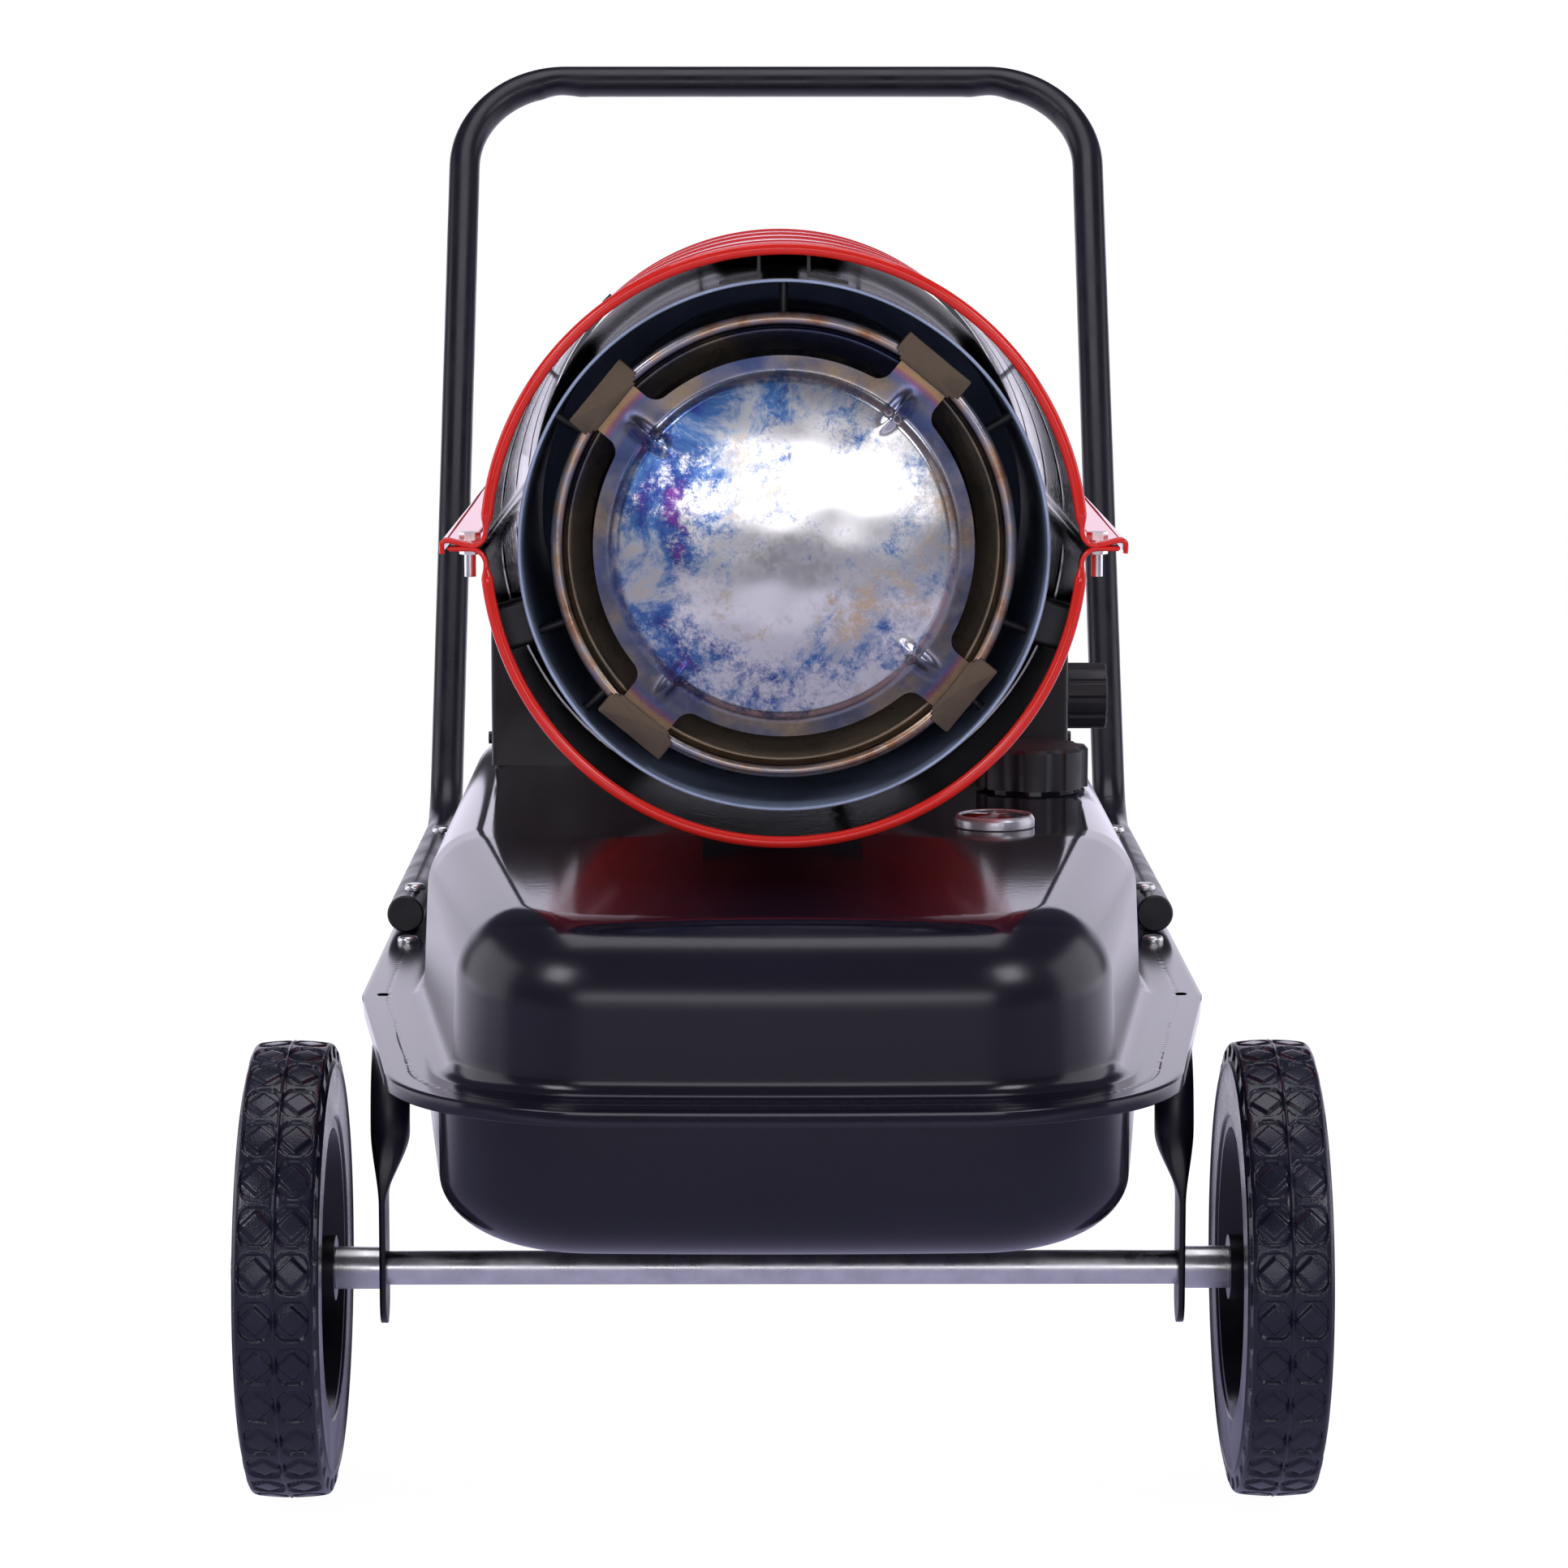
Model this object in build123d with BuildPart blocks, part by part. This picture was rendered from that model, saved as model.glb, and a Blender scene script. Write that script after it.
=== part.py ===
from build123d import *
import os
from math import asin, atan2, cos, degrees, radians, sin, sqrt, tan

# Direct-fired forced air heater on two wheels.  Millimetres, +Z up, nozzle facing -Y.
# The origin is on the floor, on the mid-plane, half way between the flange's front
# edge and the handle bar's back.  Names ending in _back are distances behind the axle.

# ---- wheels and axle ----
wheel_radius = 127.0
wheel_track = 544.0
tyre_width = 45.0
tyre_seat_radius = 84.0
tread_depth = 2.0
tread_lugs = 31
tread_lug_size = 15.0
tyre_shoulder = 6.0
hub_radius = 18.0
hub_width = 46.0
rim_web_thickness = 5.0
axle_radius = 9.5
axle_wall = 2.0
wheel_clearance = 0.06
seat_clearance = 0.3
spacer_radius = 11.8
washer_thickness = 2.0
washer_radius = 17.0
pin_radius = 1.6
pin_eye_radius = 4.2
axle_overhang = 8.0

# ---- frame tube ----
tube_radius = 11.0
tube_wall = 1.5
frame_half_width = 218.0
frame_bend_radius = 60.0
leg_round_height = 78.0
leg_flat_height = 38.0
leg_flat_thickness = 4.0
leg_flat_width = 32.0
leg_flat_drop = 31.0
foot_back = 640.0
foot_half_width = 165.0
foot_knee_back = 580.0

# ---- fuel tank ----
tank_sheet = 1.5
flange_height = 276.0
flange_half_width = 235.0
flange_width = 35.0
flange_knee_back = 23.0
flange_nose_half_width = 192.6
flange_nose_back = -303.0
flange_rear_back = 545.0
flange_bow = 10.0
nose_corner_radius = 113.0
rear_corner_radius = 62.0
knee_radius = 25.0
flange_lip = 6.0
tank_top_height = 370.0
tank_nose_drop = 20.0
tank_crease_back = -2.0
crease_radius = 90.0
tank_bottom_height = 188.0
tank_draft = 2.0
tank_top_fillet = 32.0
tank_bottom_fillet = 52.0
flange_fillet = 9.0
flange_hole_radius = 3.5
flange_hole_x = 223.0

# ---- filler, gauge and drain on the tank ----
filler_x = 149.0
filler_back = 200.0
neck_radius = 27.0
neck_wall = 2.0
neck_height = 17.0
neck_depth = 18.0
strainer_radius = 23.0
strainer_depth = 60.0
cap_radius = 33.0
cap_gap = 2.0
cap_top_thickness = 6.0
cap_lobes = 8
cap_lobe_depth = 3.0
cap_wall = 5.2
seal_thickness = 1.6
gauge_x = 119.0
gauge_back = 40.0
gauge_radius = 22.5
gauge_height = 7.0
gauge_rim = 3.0
gauge_stem_radius = 14.0
gauge_stem_depth = 22.0
gauge_pin_radius = 1.0
float_pin_radius = 1.5
float_arm_length = 105.0
float_radius = 13.0
float_length = 30.0
float_rest_angle = 62.0
pin_clearance = 0.06
drain_radius = 9.0

# ---- control box ----
box_half_width = 177.0
box_front_back = 309.0
box_rear_back = 478.0
box_top_height = 467.0
box_sheet = 1.5
knob_radius = 20.5
knob_length = 26.0
knob_flutes = 12
knob_rise = 38.0
knob_back = 355.0
switch_back = 425.0
gland_radius = 8.0
gland_x = -132.0
gland_rise = 30.0
rocker_tilt = 8.0
rocker_depth = 2.0
rocker_pin_radius = 1.2
board_rise = 14.0
board_width = 64.0
board_margin = 49.0
board_inset = 58.0

# ---- air shell ----
nozzle_height = 544.0
shell_radius = 153.5
shell_rear_radius = 151.5
shell_sheet = 1.2
shell_front_back = -177.0
shell_rear_back = 430.0
lip_radius = 3.2
rib_height = 2.0
rib_width = 12.0
rib_first_back = -35.0
rib_pitch = 140.0
rib_count = 4
ear_reach = 176.0
ear_hook = 4.5
ear_bolt_x = 162.0
ear_bolt_backs = (-150.0, 385.0)
support_back = 60.0
support_width = 90.0

# ---- heat shield, combustion chamber and baffle ----
shield_radius = 136.0
shield_sheet = 1.0
shield_front_back = -171.0
shield_rear_back = 205.0
chamber_radius = 117.0
chamber_sheet = 1.2
chamber_front_back = -166.0
chamber_rear_back = 150.0
chamber_bead = 3.5
chamber_mouth_radius = 108.0
baffle_radius = 98.0
dome_radius = 89.0
dome_height = 13.0
baffle_sheet = 1.5
arm_width = 29.0
arm_reach = 126.0
arm_angle = 50.4
arm_fillet = 8.0
head_width = 41.0
head_depth = 14.5
hat_width = 24.0
hat_foot = 21.0
hat_depth = 22.0
side_bracket_angle = 16.5
side_bracket_half = 12.0
stud_angles = (90, 29, 151, -20, 200, -40, 220)
stud_radius = 2.4

# ---- burner, motor, fan and pump ----
burner_plate_radius = 100.0
burner_tube_radius = 48.0
burner_tube_length = 60.0
nozzle_hex = 16.0
nozzle_body_radius = 9.0
electrode_radius = 4.0
electrode_offset = 16.0
photocell_radius = 6.0
pipe_radius = 3.0
pipe_back = 225.0
fuel_line_x = 26.0
motor_radius = 52.0
motor_length = 95.0
motor_leg_reach = 149.5
bracket_thickness = 3.0
motor_front_back = 282.0
shaft_radius = 5.0
shaft_clearance = 0.05
pump_radius = 38.0
pump_length = 30.0
fan_radius = 138.0
fan_back = 400.0
fan_hub_radius = 20.0
fan_blades = 5
fan_chord = 84.0
fan_pitch = 28.0
guard_wire = 3.0
guard_rings = 7
guard_spokes = 8
guard_bulge = 22.0
guard_hub_radius = 14.0

# ---- handle ----
handle_half_width = 226.0
handle_front_back = 243.0
handle_bend_back = 622.0
handle_lean = 32.0
handle_bar_height = 794.0
handle_foot_radius = 60.0
handle_corner_radius = 72.0
handle_cap_length = 12.0
clamp_screw_x = 222.0
screw_radius = 3.0
screw_head_radius = 6.2
screw_head_height = 3.6
screw_dome_radius = 2.4
nut_radius = 5.8
nut_height = 5.0
flange_screw_back = 205.0
handle_screw_backs = (268.0, 520.0)

# ---- places worked out from the sizes above ----
handle_rail_height = flange_height + tank_sheet + tube_radius
handle_bar_back = handle_bend_back + (handle_bar_height - handle_rail_height) * tan(radians(handle_lean))
front_back = flange_nose_back - flange_bow
axle_y = -(front_back + handle_bar_back + tube_radius) / 2
axle_z = wheel_radius
frame_rail_height = flange_height - tank_sheet - tube_radius
knob_height = tank_top_height + knob_rise
spacer_start = frame_half_width + 4.0 + leg_flat_thickness / 2
hub_inner = wheel_track / 2 - hub_width / 2
hub_outer = wheel_track / 2 + hub_width / 2
washer_start = hub_outer + seat_clearance
pin_x = washer_start + washer_thickness + pin_radius
axle_half_length = pin_x + axle_overhang
nozzle_axis = Axis((0, 0, nozzle_height), (0, 1, 0))
box_mid_back = (box_front_back + box_rear_back) / 2
shell_length = shell_rear_back - shell_front_back
flange_hole_places = [(side * flange_hole_x, axle_y + flange_knee_back, flange_height) for side in (-1, 1)]
handle_screw_places = [(side * clamp_screw_x, axle_y + back, flange_height)
                       for side in (-1, 1) for back in handle_screw_backs]
flange_screw_places = [(side * clamp_screw_x, axle_y + flange_screw_back, flange_height) for side in (-1, 1)]
clamp_places = handle_screw_places + flange_screw_places

os.makedirs("parts", exist_ok=True)


def behind(distance):
    """Y of a point this far behind the axle."""
    return axle_y + distance


def facing(distance, height=nozzle_height, x=0.0):
    """Upright plane across the heater: local x is X, local y is Z, normal towards the nozzle."""
    return Plane(origin=(x, behind(distance), height), x_dir=(1, 0, 0), z_dir=(0, -1, 0))


def side_on(x, distance=0.0, height=0.0):
    """Plane at one X: local x is Y, local y is Z, normal along +X."""
    return Plane(origin=(x, behind(distance), height), x_dir=(0, 1, 0), z_dir=(1, 0, 0))


def level(height):
    """Horizontal plane at one height."""
    return Plane.XY.offset(height)


def save(name, part):
    """Labels a finished piece and writes it under its own name."""
    part.label = name
    export_step(part, f"parts/{name}.step")


def shell_outline_radius(distance):
    """The shell narrows slightly from its lip to its rear edge."""
    share = (distance - shell_front_back) / shell_length
    return shell_radius + (shell_rear_radius - shell_radius) * share


# ---------------------------------------------------------------- wheels
def tyre():
    """Solid rubber tyre with two rows of raised diamonds; their corners reach the full radius."""
    tread_base = wheel_radius - tread_depth
    half = tyre_width / 2
    shoulder = tyre_shoulder
    x_mid = wheel_track / 2
    lug_foot = tread_base - 1.5
    lug_top = sqrt(wheel_radius ** 2 - tread_lug_size ** 2 / 2)
    with BuildPart() as ring:
        with BuildSketch(Plane(origin=(x_mid, axle_y, axle_z), x_dir=(1, 0, 0), z_dir=(0, -1, 0))):
            with BuildLine():
                Polyline(
                    (-half, tyre_seat_radius + 2), (-half + 2, tyre_seat_radius),
                    (half - 2, tyre_seat_radius), (half, tyre_seat_radius + 2),
                    (half, tread_base - shoulder), (half - shoulder * 0.6, tread_base - 0.8),
                    (0, tread_base), (-half + shoulder * 0.6, tread_base - 0.8),
                    (-half, tread_base - shoulder), close=True)
            make_face()
        revolve(axis=Axis((0, axle_y, axle_z), (1, 0, 0)))
        for row in (-1, 1):
            row_x = x_mid + row * tyre_width / 4
            for lug in range(tread_lugs):
                angle = 360.0 / tread_lugs * lug
                radial = (0, cos(radians(angle)), sin(radians(angle)))
                foot = (row_x, axle_y + lug_foot * radial[1], axle_z + lug_foot * radial[2])
                with BuildSketch(Plane(origin=foot, x_dir=(1, 0, 0), z_dir=radial)):
                    Rectangle(tread_lug_size, tread_lug_size, rotation=45)
                extrude(amount=lug_top - lug_foot)
    return ring.part


def rim():
    """Dished wheel centre: barrel under the tyre, sloping web and long hub."""
    x_mid = wheel_track / 2
    half = tyre_width / 2 - 1.5
    barrel = tyre_seat_radius - 4.0
    with BuildPart() as centre:
        with BuildSketch(Plane(origin=(x_mid, axle_y, axle_z), x_dir=(-1, 0, 0), z_dir=(0, 1, 0))):
            bore = axle_radius + wheel_clearance
            with BuildLine():
                Polyline(
                    (-hub_width / 2, bore), (hub_width / 2, bore), (hub_width / 2, hub_radius),
                    (2.0, hub_radius), (-6.0, barrel - 12.0), (half, barrel - 2.0),
                    (half, tyre_seat_radius), (-half, tyre_seat_radius), (-half, barrel),
                    (-6.0 - rim_web_thickness, barrel - 10.0), (2.0 - rim_web_thickness, hub_radius),
                    (-hub_width / 2, hub_radius), close=True)
            make_face()
        revolve(axis=Axis((0, axle_y, axle_z), (1, 0, 0)))
    return centre.part


tyre_right = tyre()
rim_right = rim()
save("tyre_right", tyre_right)
save("rim_right", rim_right)
save("tyre_left", mirror(tyre_right, about=Plane.YZ))
save("rim_left", mirror(rim_right, about=Plane.YZ))

with BuildPart() as axle:
    with BuildSketch(side_on(0, 0, axle_z)):
        Circle(axle_radius)
        Circle(axle_radius - axle_wall, mode=Mode.SUBTRACT)
    extrude(amount=axle_half_length, both=True)
    for side in (-1, 1):
        with BuildSketch(Plane(origin=(side * pin_x, axle_y, axle_z))):
            Circle(pin_radius)
        extrude(amount=axle_radius + 1, both=True, mode=Mode.SUBTRACT)
save("axle", axle.part)

with BuildPart() as axle_spacers:
    for side in (-1, 1):
        length = hub_inner - seat_clearance - spacer_start
        with BuildSketch(side_on(side * spacer_start, 0, axle_z)):
            Circle(spacer_radius)
            Circle(axle_radius + 0.1, mode=Mode.SUBTRACT)
        extrude(amount=side * length)
save("axle_spacers", axle_spacers.part)

with BuildPart() as axle_washers:
    for side in (-1, 1):
        with BuildSketch(side_on(side * washer_start, 0, axle_z)):
            Circle(washer_radius)
            Circle(axle_radius + 0.1, mode=Mode.SUBTRACT)
        extrude(amount=side * washer_thickness)
save("axle_washers", axle_washers.part)

with BuildPart() as split_pins:
    for side in (-1, 1):
        with BuildSketch(Plane(origin=(side * pin_x, axle_y, axle_z))):
            Circle(pin_radius - 0.1)
        extrude(amount=axle_radius + 5, both=True)
        with BuildSketch(side_on(side * pin_x, 0, axle_z + axle_radius + 8)):
            Circle(pin_eye_radius)
            Circle(pin_eye_radius - 1.8, mode=Mode.SUBTRACT)
        extrude(amount=pin_radius - 0.2, both=True)
save("split_pins", split_pins.part)


# ---------------------------------------------------------------- frame
foot_top = (frame_half_width, behind(foot_knee_back), frame_rail_height)
foot_low = (foot_half_width, behind(foot_back), tube_radius)


def mirrored(point):
    return (-point[0], point[1], point[2])


leg_top = axle_z + leg_round_height
leg_flat = axle_z + leg_flat_height
leg_start = (frame_half_width, behind(0), leg_top)
leg_knee = (frame_half_width, behind(0), frame_rail_height)
with BuildPart() as frame_tube:
    with BuildLine() as frame_path:
        FilletPolyline(
            leg_start, leg_knee, foot_top, foot_low,
            mirrored(foot_low), mirrored(foot_top), mirrored(leg_knee), mirrored(leg_start),
            radius=[frame_bend_radius - 4.0] + [frame_bend_radius] * 4 + [frame_bend_radius - 4.0])
    with BuildSketch(Plane(origin=leg_start, z_dir=(0, 0, 1))):
        Circle(tube_radius)
        Circle(tube_radius - tube_wall, mode=Mode.SUBTRACT)
    sweep()
    for side in (-1, 1):
        flat_x = side * (frame_half_width + 4.0)
        with BuildSketch(Plane(origin=(side * frame_half_width, axle_y, leg_top))):
            Circle(tube_radius)
        with BuildSketch(Plane(origin=(flat_x, axle_y, leg_flat))):
            SlotOverall(leg_flat_width, leg_flat_thickness, rotation=90)
        loft()
        with BuildSketch(side_on(flat_x, 0, axle_z)):
            with Locations((0, (leg_flat_height - leg_flat_drop) / 2)):
                Rectangle(leg_flat_width - 1.0, leg_flat_height + leg_flat_drop)
            Circle(axle_radius + 0.1, mode=Mode.SUBTRACT)
        extrude(amount=leg_flat_thickness / 2, both=True)
    with Locations(*clamp_places):
        Cylinder(screw_radius + 0.2, 80, mode=Mode.SUBTRACT)
save("frame_tube", frame_tube.part)


# ---------------------------------------------------------------- tank
def flange_outline(inset):
    """Coffin-shaped plan of the tank flange, drawn inset from its edge, with a bowed nose."""
    with BuildSketch() as plan:
        with BuildLine():
            nose = (flange_nose_half_width, behind(flange_nose_back))
            knee = (flange_half_width, behind(flange_knee_back))
            rear = (flange_half_width, behind(flange_rear_back))
            Polyline(nose, knee, rear, (-rear[0], rear[1]), (-knee[0], knee[1]), (-nose[0], nose[1]))
            ThreePointArc((-nose[0], nose[1]), (0, behind(flange_nose_back) - flange_bow), nose)
        make_face()
        corners = plan.vertices().group_by(Axis.Y)
        fillet(corners[0], nose_corner_radius)
        fillet(plan.vertices().group_by(Axis.Y)[-1], rear_corner_radius)
        knees = plan.vertices().filter_by(
            lambda v: abs(v.Y - behind(flange_knee_back)) < 1 and abs(v.X) > flange_half_width - 1)
        fillet(knees, knee_radius)
        if inset:
            offset(amount=-inset, kind=Kind.ARC)
    return plan.sketch


def upper_dome(wall):
    """Upper tank form, wall deep inside its skin: drawn walls, falling deck, rounded shoulders."""
    top = tank_top_height - wall
    nose_y = behind(flange_nose_back) - flange_bow
    crease_y = behind(tank_crease_back)
    fall = atan2(tank_nose_drop, crease_y - nose_y)
    reach = crease_radius * tan(fall / 2)
    start = (crease_y + reach, top)
    end = (crease_y - reach * cos(fall), top - reach * sin(fall))
    with BuildPart() as dome:
        with BuildSketch(level(flange_height)):
            add(flange_outline(flange_width + wall))
        extrude(amount=top - flange_height, taper=tank_draft)
        with BuildSketch(side_on(0, -axle_y, 0)):
            with BuildLine():
                TangentArc(start, end, tangent=(-1, 0))
                Polyline(end, (nose_y, top - tank_nose_drop), (nose_y, top + 40), (start[0], top + 40), start)
            make_face()
        extrude(amount=flange_half_width + 20, both=True, mode=Mode.SUBTRACT)
        deck = dome.faces().filter_by(lambda f: f.normal_at().Z > 0.9)
        deck_edges = [edge for face in deck for edge in face.edges()]
        rim_edges = [e for e in deck_edges if sum(e.is_same(other) for other in deck_edges) == 1]
        fillet(rim_edges, tank_top_fillet - wall)
    return dome.part


def lower_dome(wall):
    """Lower tank form, wall deep inside its skin."""
    with BuildPart() as dome:
        with BuildSketch(level(flange_height)):
            add(flange_outline(flange_width + wall))
        extrude(amount=-(flange_height - tank_bottom_height - wall), taper=tank_draft)
        fillet(dome.faces().sort_by(Axis.Z)[0].edges(), tank_bottom_fillet - wall)
    return dome.part


lip_end_back = flange_knee_back - 18.0
upper_outer = upper_dome(0)
upper_inner = upper_dome(tank_sheet)
with BuildPart() as tank_upper:
    add(upper_outer)
    with BuildSketch(level(flange_height)):
        add(flange_outline(0))
    extrude(amount=tank_sheet)
    with BuildSketch(level(flange_height - flange_lip)):
        add(flange_outline(0))
        add(flange_outline(tank_sheet), mode=Mode.SUBTRACT)
        with Locations((0, behind((lip_end_back + flange_rear_back) / 2 + flange_lip))):
            Rectangle(2 * flange_half_width + flange_lip, flange_rear_back - lip_end_back + 2 * flange_lip,
                      mode=Mode.SUBTRACT)
    extrude(amount=flange_lip)
    flange_top = flange_height + tank_sheet
    flange_face = tank_upper.faces().filter_by_position(Axis.Z, flange_top - 0.01, flange_top + 0.01)[0]
    fillet(flange_face.inner_wires()[0].edges(), flange_fillet)
    add(upper_inner, mode=Mode.SUBTRACT)
    with Locations((filler_x, behind(filler_back), tank_top_height)):
        Cylinder(neck_radius + 0.1, 30, mode=Mode.SUBTRACT)
    with Locations((gauge_x, behind(gauge_back), tank_top_height)):
        Cylinder(gauge_stem_radius + 0.2, 20, mode=Mode.SUBTRACT)
    with Locations(*flange_hole_places):
        Cylinder(flange_hole_radius, 20, mode=Mode.SUBTRACT)
    with Locations(*clamp_places):
        Cylinder(screw_radius + 0.2, 20, mode=Mode.SUBTRACT)
save("tank_upper", tank_upper.part)

lower_outer = lower_dome(0)
lower_inner = lower_dome(tank_sheet)
with BuildPart() as tank_lower:
    add(lower_outer)
    with BuildSketch(level(flange_height - tank_sheet)):
        add(flange_outline(tank_sheet + 0.3))
    extrude(amount=tank_sheet)
    add(lower_inner, mode=Mode.SUBTRACT)
    with Locations((0, behind(box_front_back), tank_bottom_height)):
        Cylinder(drain_radius - 1.5, 12, mode=Mode.SUBTRACT)
    with Locations(*flange_hole_places):
        Cylinder(flange_hole_radius, 20, mode=Mode.SUBTRACT)
    with Locations(*clamp_places):
        Cylinder(screw_radius + 0.2, 20, mode=Mode.SUBTRACT)
save("tank_lower", tank_lower.part)


# ---------------------------------------------------------------- fittings on the tank
with BuildPart() as drain_plug:
    with BuildSketch(level(tank_bottom_height)):
        Circle(drain_radius + 3)
    extrude(amount=-2)
    with BuildSketch(level(tank_bottom_height - 2)):
        RegularPolygon(drain_radius, 6)
    extrude(amount=-6)
    with BuildSketch(level(tank_bottom_height - 1)):
        Circle(drain_radius - 1.6)
    extrude(amount=11)
save("drain_plug", drain_plug.part.moved(Location((0, behind(box_front_back), 0))))

neck_top = tank_top_height + neck_height
with BuildPart() as filler_neck:
    with BuildSketch(Plane(origin=(filler_x, behind(filler_back), tank_top_height - neck_depth))):
        Circle(neck_radius)
        Circle(neck_radius - neck_wall, mode=Mode.SUBTRACT)
    extrude(amount=neck_depth + neck_height)
save("filler_neck", filler_neck.part)

with BuildPart() as filler_strainer:
    with BuildSketch(Plane(origin=(filler_x, behind(filler_back), neck_top))):
        Circle(neck_radius - 0.5)
        Circle(strainer_radius - 1, mode=Mode.SUBTRACT)
    extrude(amount=1)
    with BuildSketch(Plane(origin=(filler_x, behind(filler_back), neck_top))):
        Circle(strainer_radius)
    extrude(amount=-strainer_depth)
    with BuildSketch(Plane(origin=(filler_x, behind(filler_back), neck_top + 1))):
        Circle(strainer_radius - 1)
    extrude(amount=-strainer_depth, mode=Mode.SUBTRACT)
save("filler_strainer", filler_strainer.part)

seal_height = neck_top + 1 + seat_clearance
with BuildPart() as cap_seal:
    with BuildSketch(Plane(origin=(filler_x, behind(filler_back), seal_height))):
        Circle(neck_radius)
        Circle(strainer_radius, mode=Mode.SUBTRACT)
    extrude(amount=seal_thickness)
save("cap_seal", cap_seal.part)

cap_floor = tank_top_height + cap_gap
cap_ceiling = seal_height + seal_thickness + seat_clearance
cap_top = cap_ceiling + cap_top_thickness
with BuildPart() as fuel_cap:
    with BuildSketch(Plane(origin=(filler_x, behind(filler_back), cap_floor))):
        Circle(cap_radius)
        with PolarLocations(cap_radius + 7, cap_lobes, start_angle=180 / cap_lobes):
            Circle(7 + cap_lobe_depth, mode=Mode.SUBTRACT)
    extrude(amount=cap_top - cap_floor)
    chamfer(fuel_cap.faces().sort_by(Axis.Z)[-1].edges(), 2.0)
    with BuildSketch(Plane(origin=(filler_x, behind(filler_back), cap_floor))):
        Circle(cap_radius - cap_wall)
    extrude(amount=cap_ceiling - cap_floor, mode=Mode.SUBTRACT)
save("fuel_cap", fuel_cap.part)

gauge_spot = Location((gauge_x, behind(gauge_back), tank_top_height))
pivot_drop = gauge_stem_depth + 6
with BuildPart() as gauge_body:
    with BuildSketch():
        Circle(gauge_radius - gauge_rim - 0.3)
    extrude(amount=1.5)
    with BuildSketch():
        Circle(gauge_stem_radius)
    extrude(amount=-gauge_stem_depth)
    with BuildSketch():
        Circle(gauge_pin_radius)
    extrude(amount=4.5)
    with BuildSketch(Plane.XZ):
        with Locations((0, -gauge_stem_depth - 4)):
            Rectangle(10, 12)
    extrude(amount=6, both=True)
    with BuildSketch(Plane.XZ):
        with Locations((0, -gauge_stem_depth - 6)):
            Rectangle(12, 12)
    extrude(amount=3.5, both=True, mode=Mode.SUBTRACT)
    with BuildSketch(Plane.XZ):
        with Locations((0, -pivot_drop)):
            Circle(float_pin_radius)
    extrude(amount=6, both=True)
save("gauge_body", gauge_body.part.moved(gauge_spot))

with BuildPart() as gauge_bezel:
    with BuildSketch(Plane.XZ):
        with BuildLine():
            Polyline(
                (gauge_radius - gauge_rim, 0), (gauge_radius, 0), (gauge_radius, gauge_height - 2.5),
                (gauge_radius - 1.5, gauge_height), (gauge_radius - gauge_rim, gauge_height), close=True)
        make_face()
    revolve(axis=Axis.Z)
save("gauge_bezel", gauge_bezel.part.moved(gauge_spot))

lens_radius = gauge_radius - gauge_rim - 0.1
lens_rise = 2.5
lens_bowl = (lens_radius ** 2 + lens_rise ** 2) / (2 * lens_rise)
with BuildPart() as gauge_lens:
    with BuildSketch(Plane.XZ):
        with BuildLine():
            edge_height = gauge_height - 1
            arc = CenterArc((0, edge_height + lens_rise - lens_bowl), lens_bowl, 90,
                            -degrees(asin(lens_radius / lens_bowl)))
            Polyline(arc @ 1, (lens_radius, edge_height - 1), (0, edge_height - 1), arc @ 0)
        make_face()
    revolve(axis=Axis.Z)
save("gauge_lens", gauge_lens.part.moved(gauge_spot))

with BuildPart() as gauge_needle:
    with BuildSketch(Plane.XY.offset(2.6)):
        Circle(2.6)
        with BuildLine():
            Polyline((-5, -1.2), (14, -0.4), (14, 0.4), (-5, 1.2), close=True)
        make_face()
        Circle(gauge_pin_radius + pin_clearance, mode=Mode.SUBTRACT)
    extrude(amount=0.9)
save("gauge_needle", gauge_needle.part.rotate(Axis.Z, 200).moved(gauge_spot))

with BuildPart() as float_arm:
    with BuildSketch(Plane.XZ):
        Circle(4.0)
        with Locations((-float_arm_length / 2, 0)):
            Rectangle(float_arm_length, 3.0)
        Circle(float_pin_radius + pin_clearance, mode=Mode.SUBTRACT)
    extrude(amount=1.5, both=True)
    with BuildSketch(Plane.XZ):
        with Locations((-float_arm_length, 0)):
            Circle(float_radius)
    extrude(amount=float_length / 2, both=True)
float_pose = gauge_spot * Location((0, 0, -pivot_drop)) * Location((0, 0, 0), (0, -float_rest_angle, 0))
save("float_arm", float_arm.part.moved(float_pose))


# ---------------------------------------------------------------- control box
box_depth = box_rear_back - box_front_back
box_rise = box_top_height - tank_top_height
saddle_radius = shell_radius + rib_height + 1.0
with BuildPart() as box_inside:
    with Locations((0, behind(box_mid_back), tank_top_height + box_rise / 2 - box_sheet)):
        Box(2 * (box_half_width - box_sheet), box_depth - 2 * box_sheet, box_rise)
    with BuildSketch(facing(box_mid_back)):
        Circle(saddle_radius + box_sheet)
    extrude(amount=box_depth, both=True, mode=Mode.SUBTRACT)

with BuildPart() as control_box:
    with Locations((0, behind(box_mid_back), tank_top_height + box_rise / 2)):
        Box(2 * box_half_width, box_depth, box_rise)
    fillet(control_box.edges().filter_by(Axis.Z), 3.0)
    with BuildSketch(facing(box_mid_back)):
        Circle(saddle_radius)
    extrude(amount=box_depth, both=True, mode=Mode.SUBTRACT)
    add(box_inside.part, mode=Mode.SUBTRACT)
    with BuildSketch(side_on(box_half_width, 0, knob_height)):
        with Locations((knob_back, 0)):
            Circle(4.0)
        with Locations((switch_back, 0)):
            Rectangle(19, 27)
    extrude(amount=-2 * box_sheet, mode=Mode.SUBTRACT)
    with BuildSketch(facing(box_rear_back, tank_top_height + gland_rise, gland_x)):
        Circle(gland_radius - 2)
    extrude(amount=2 * box_sheet, mode=Mode.SUBTRACT)
save("control_box", control_box.part)

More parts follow.
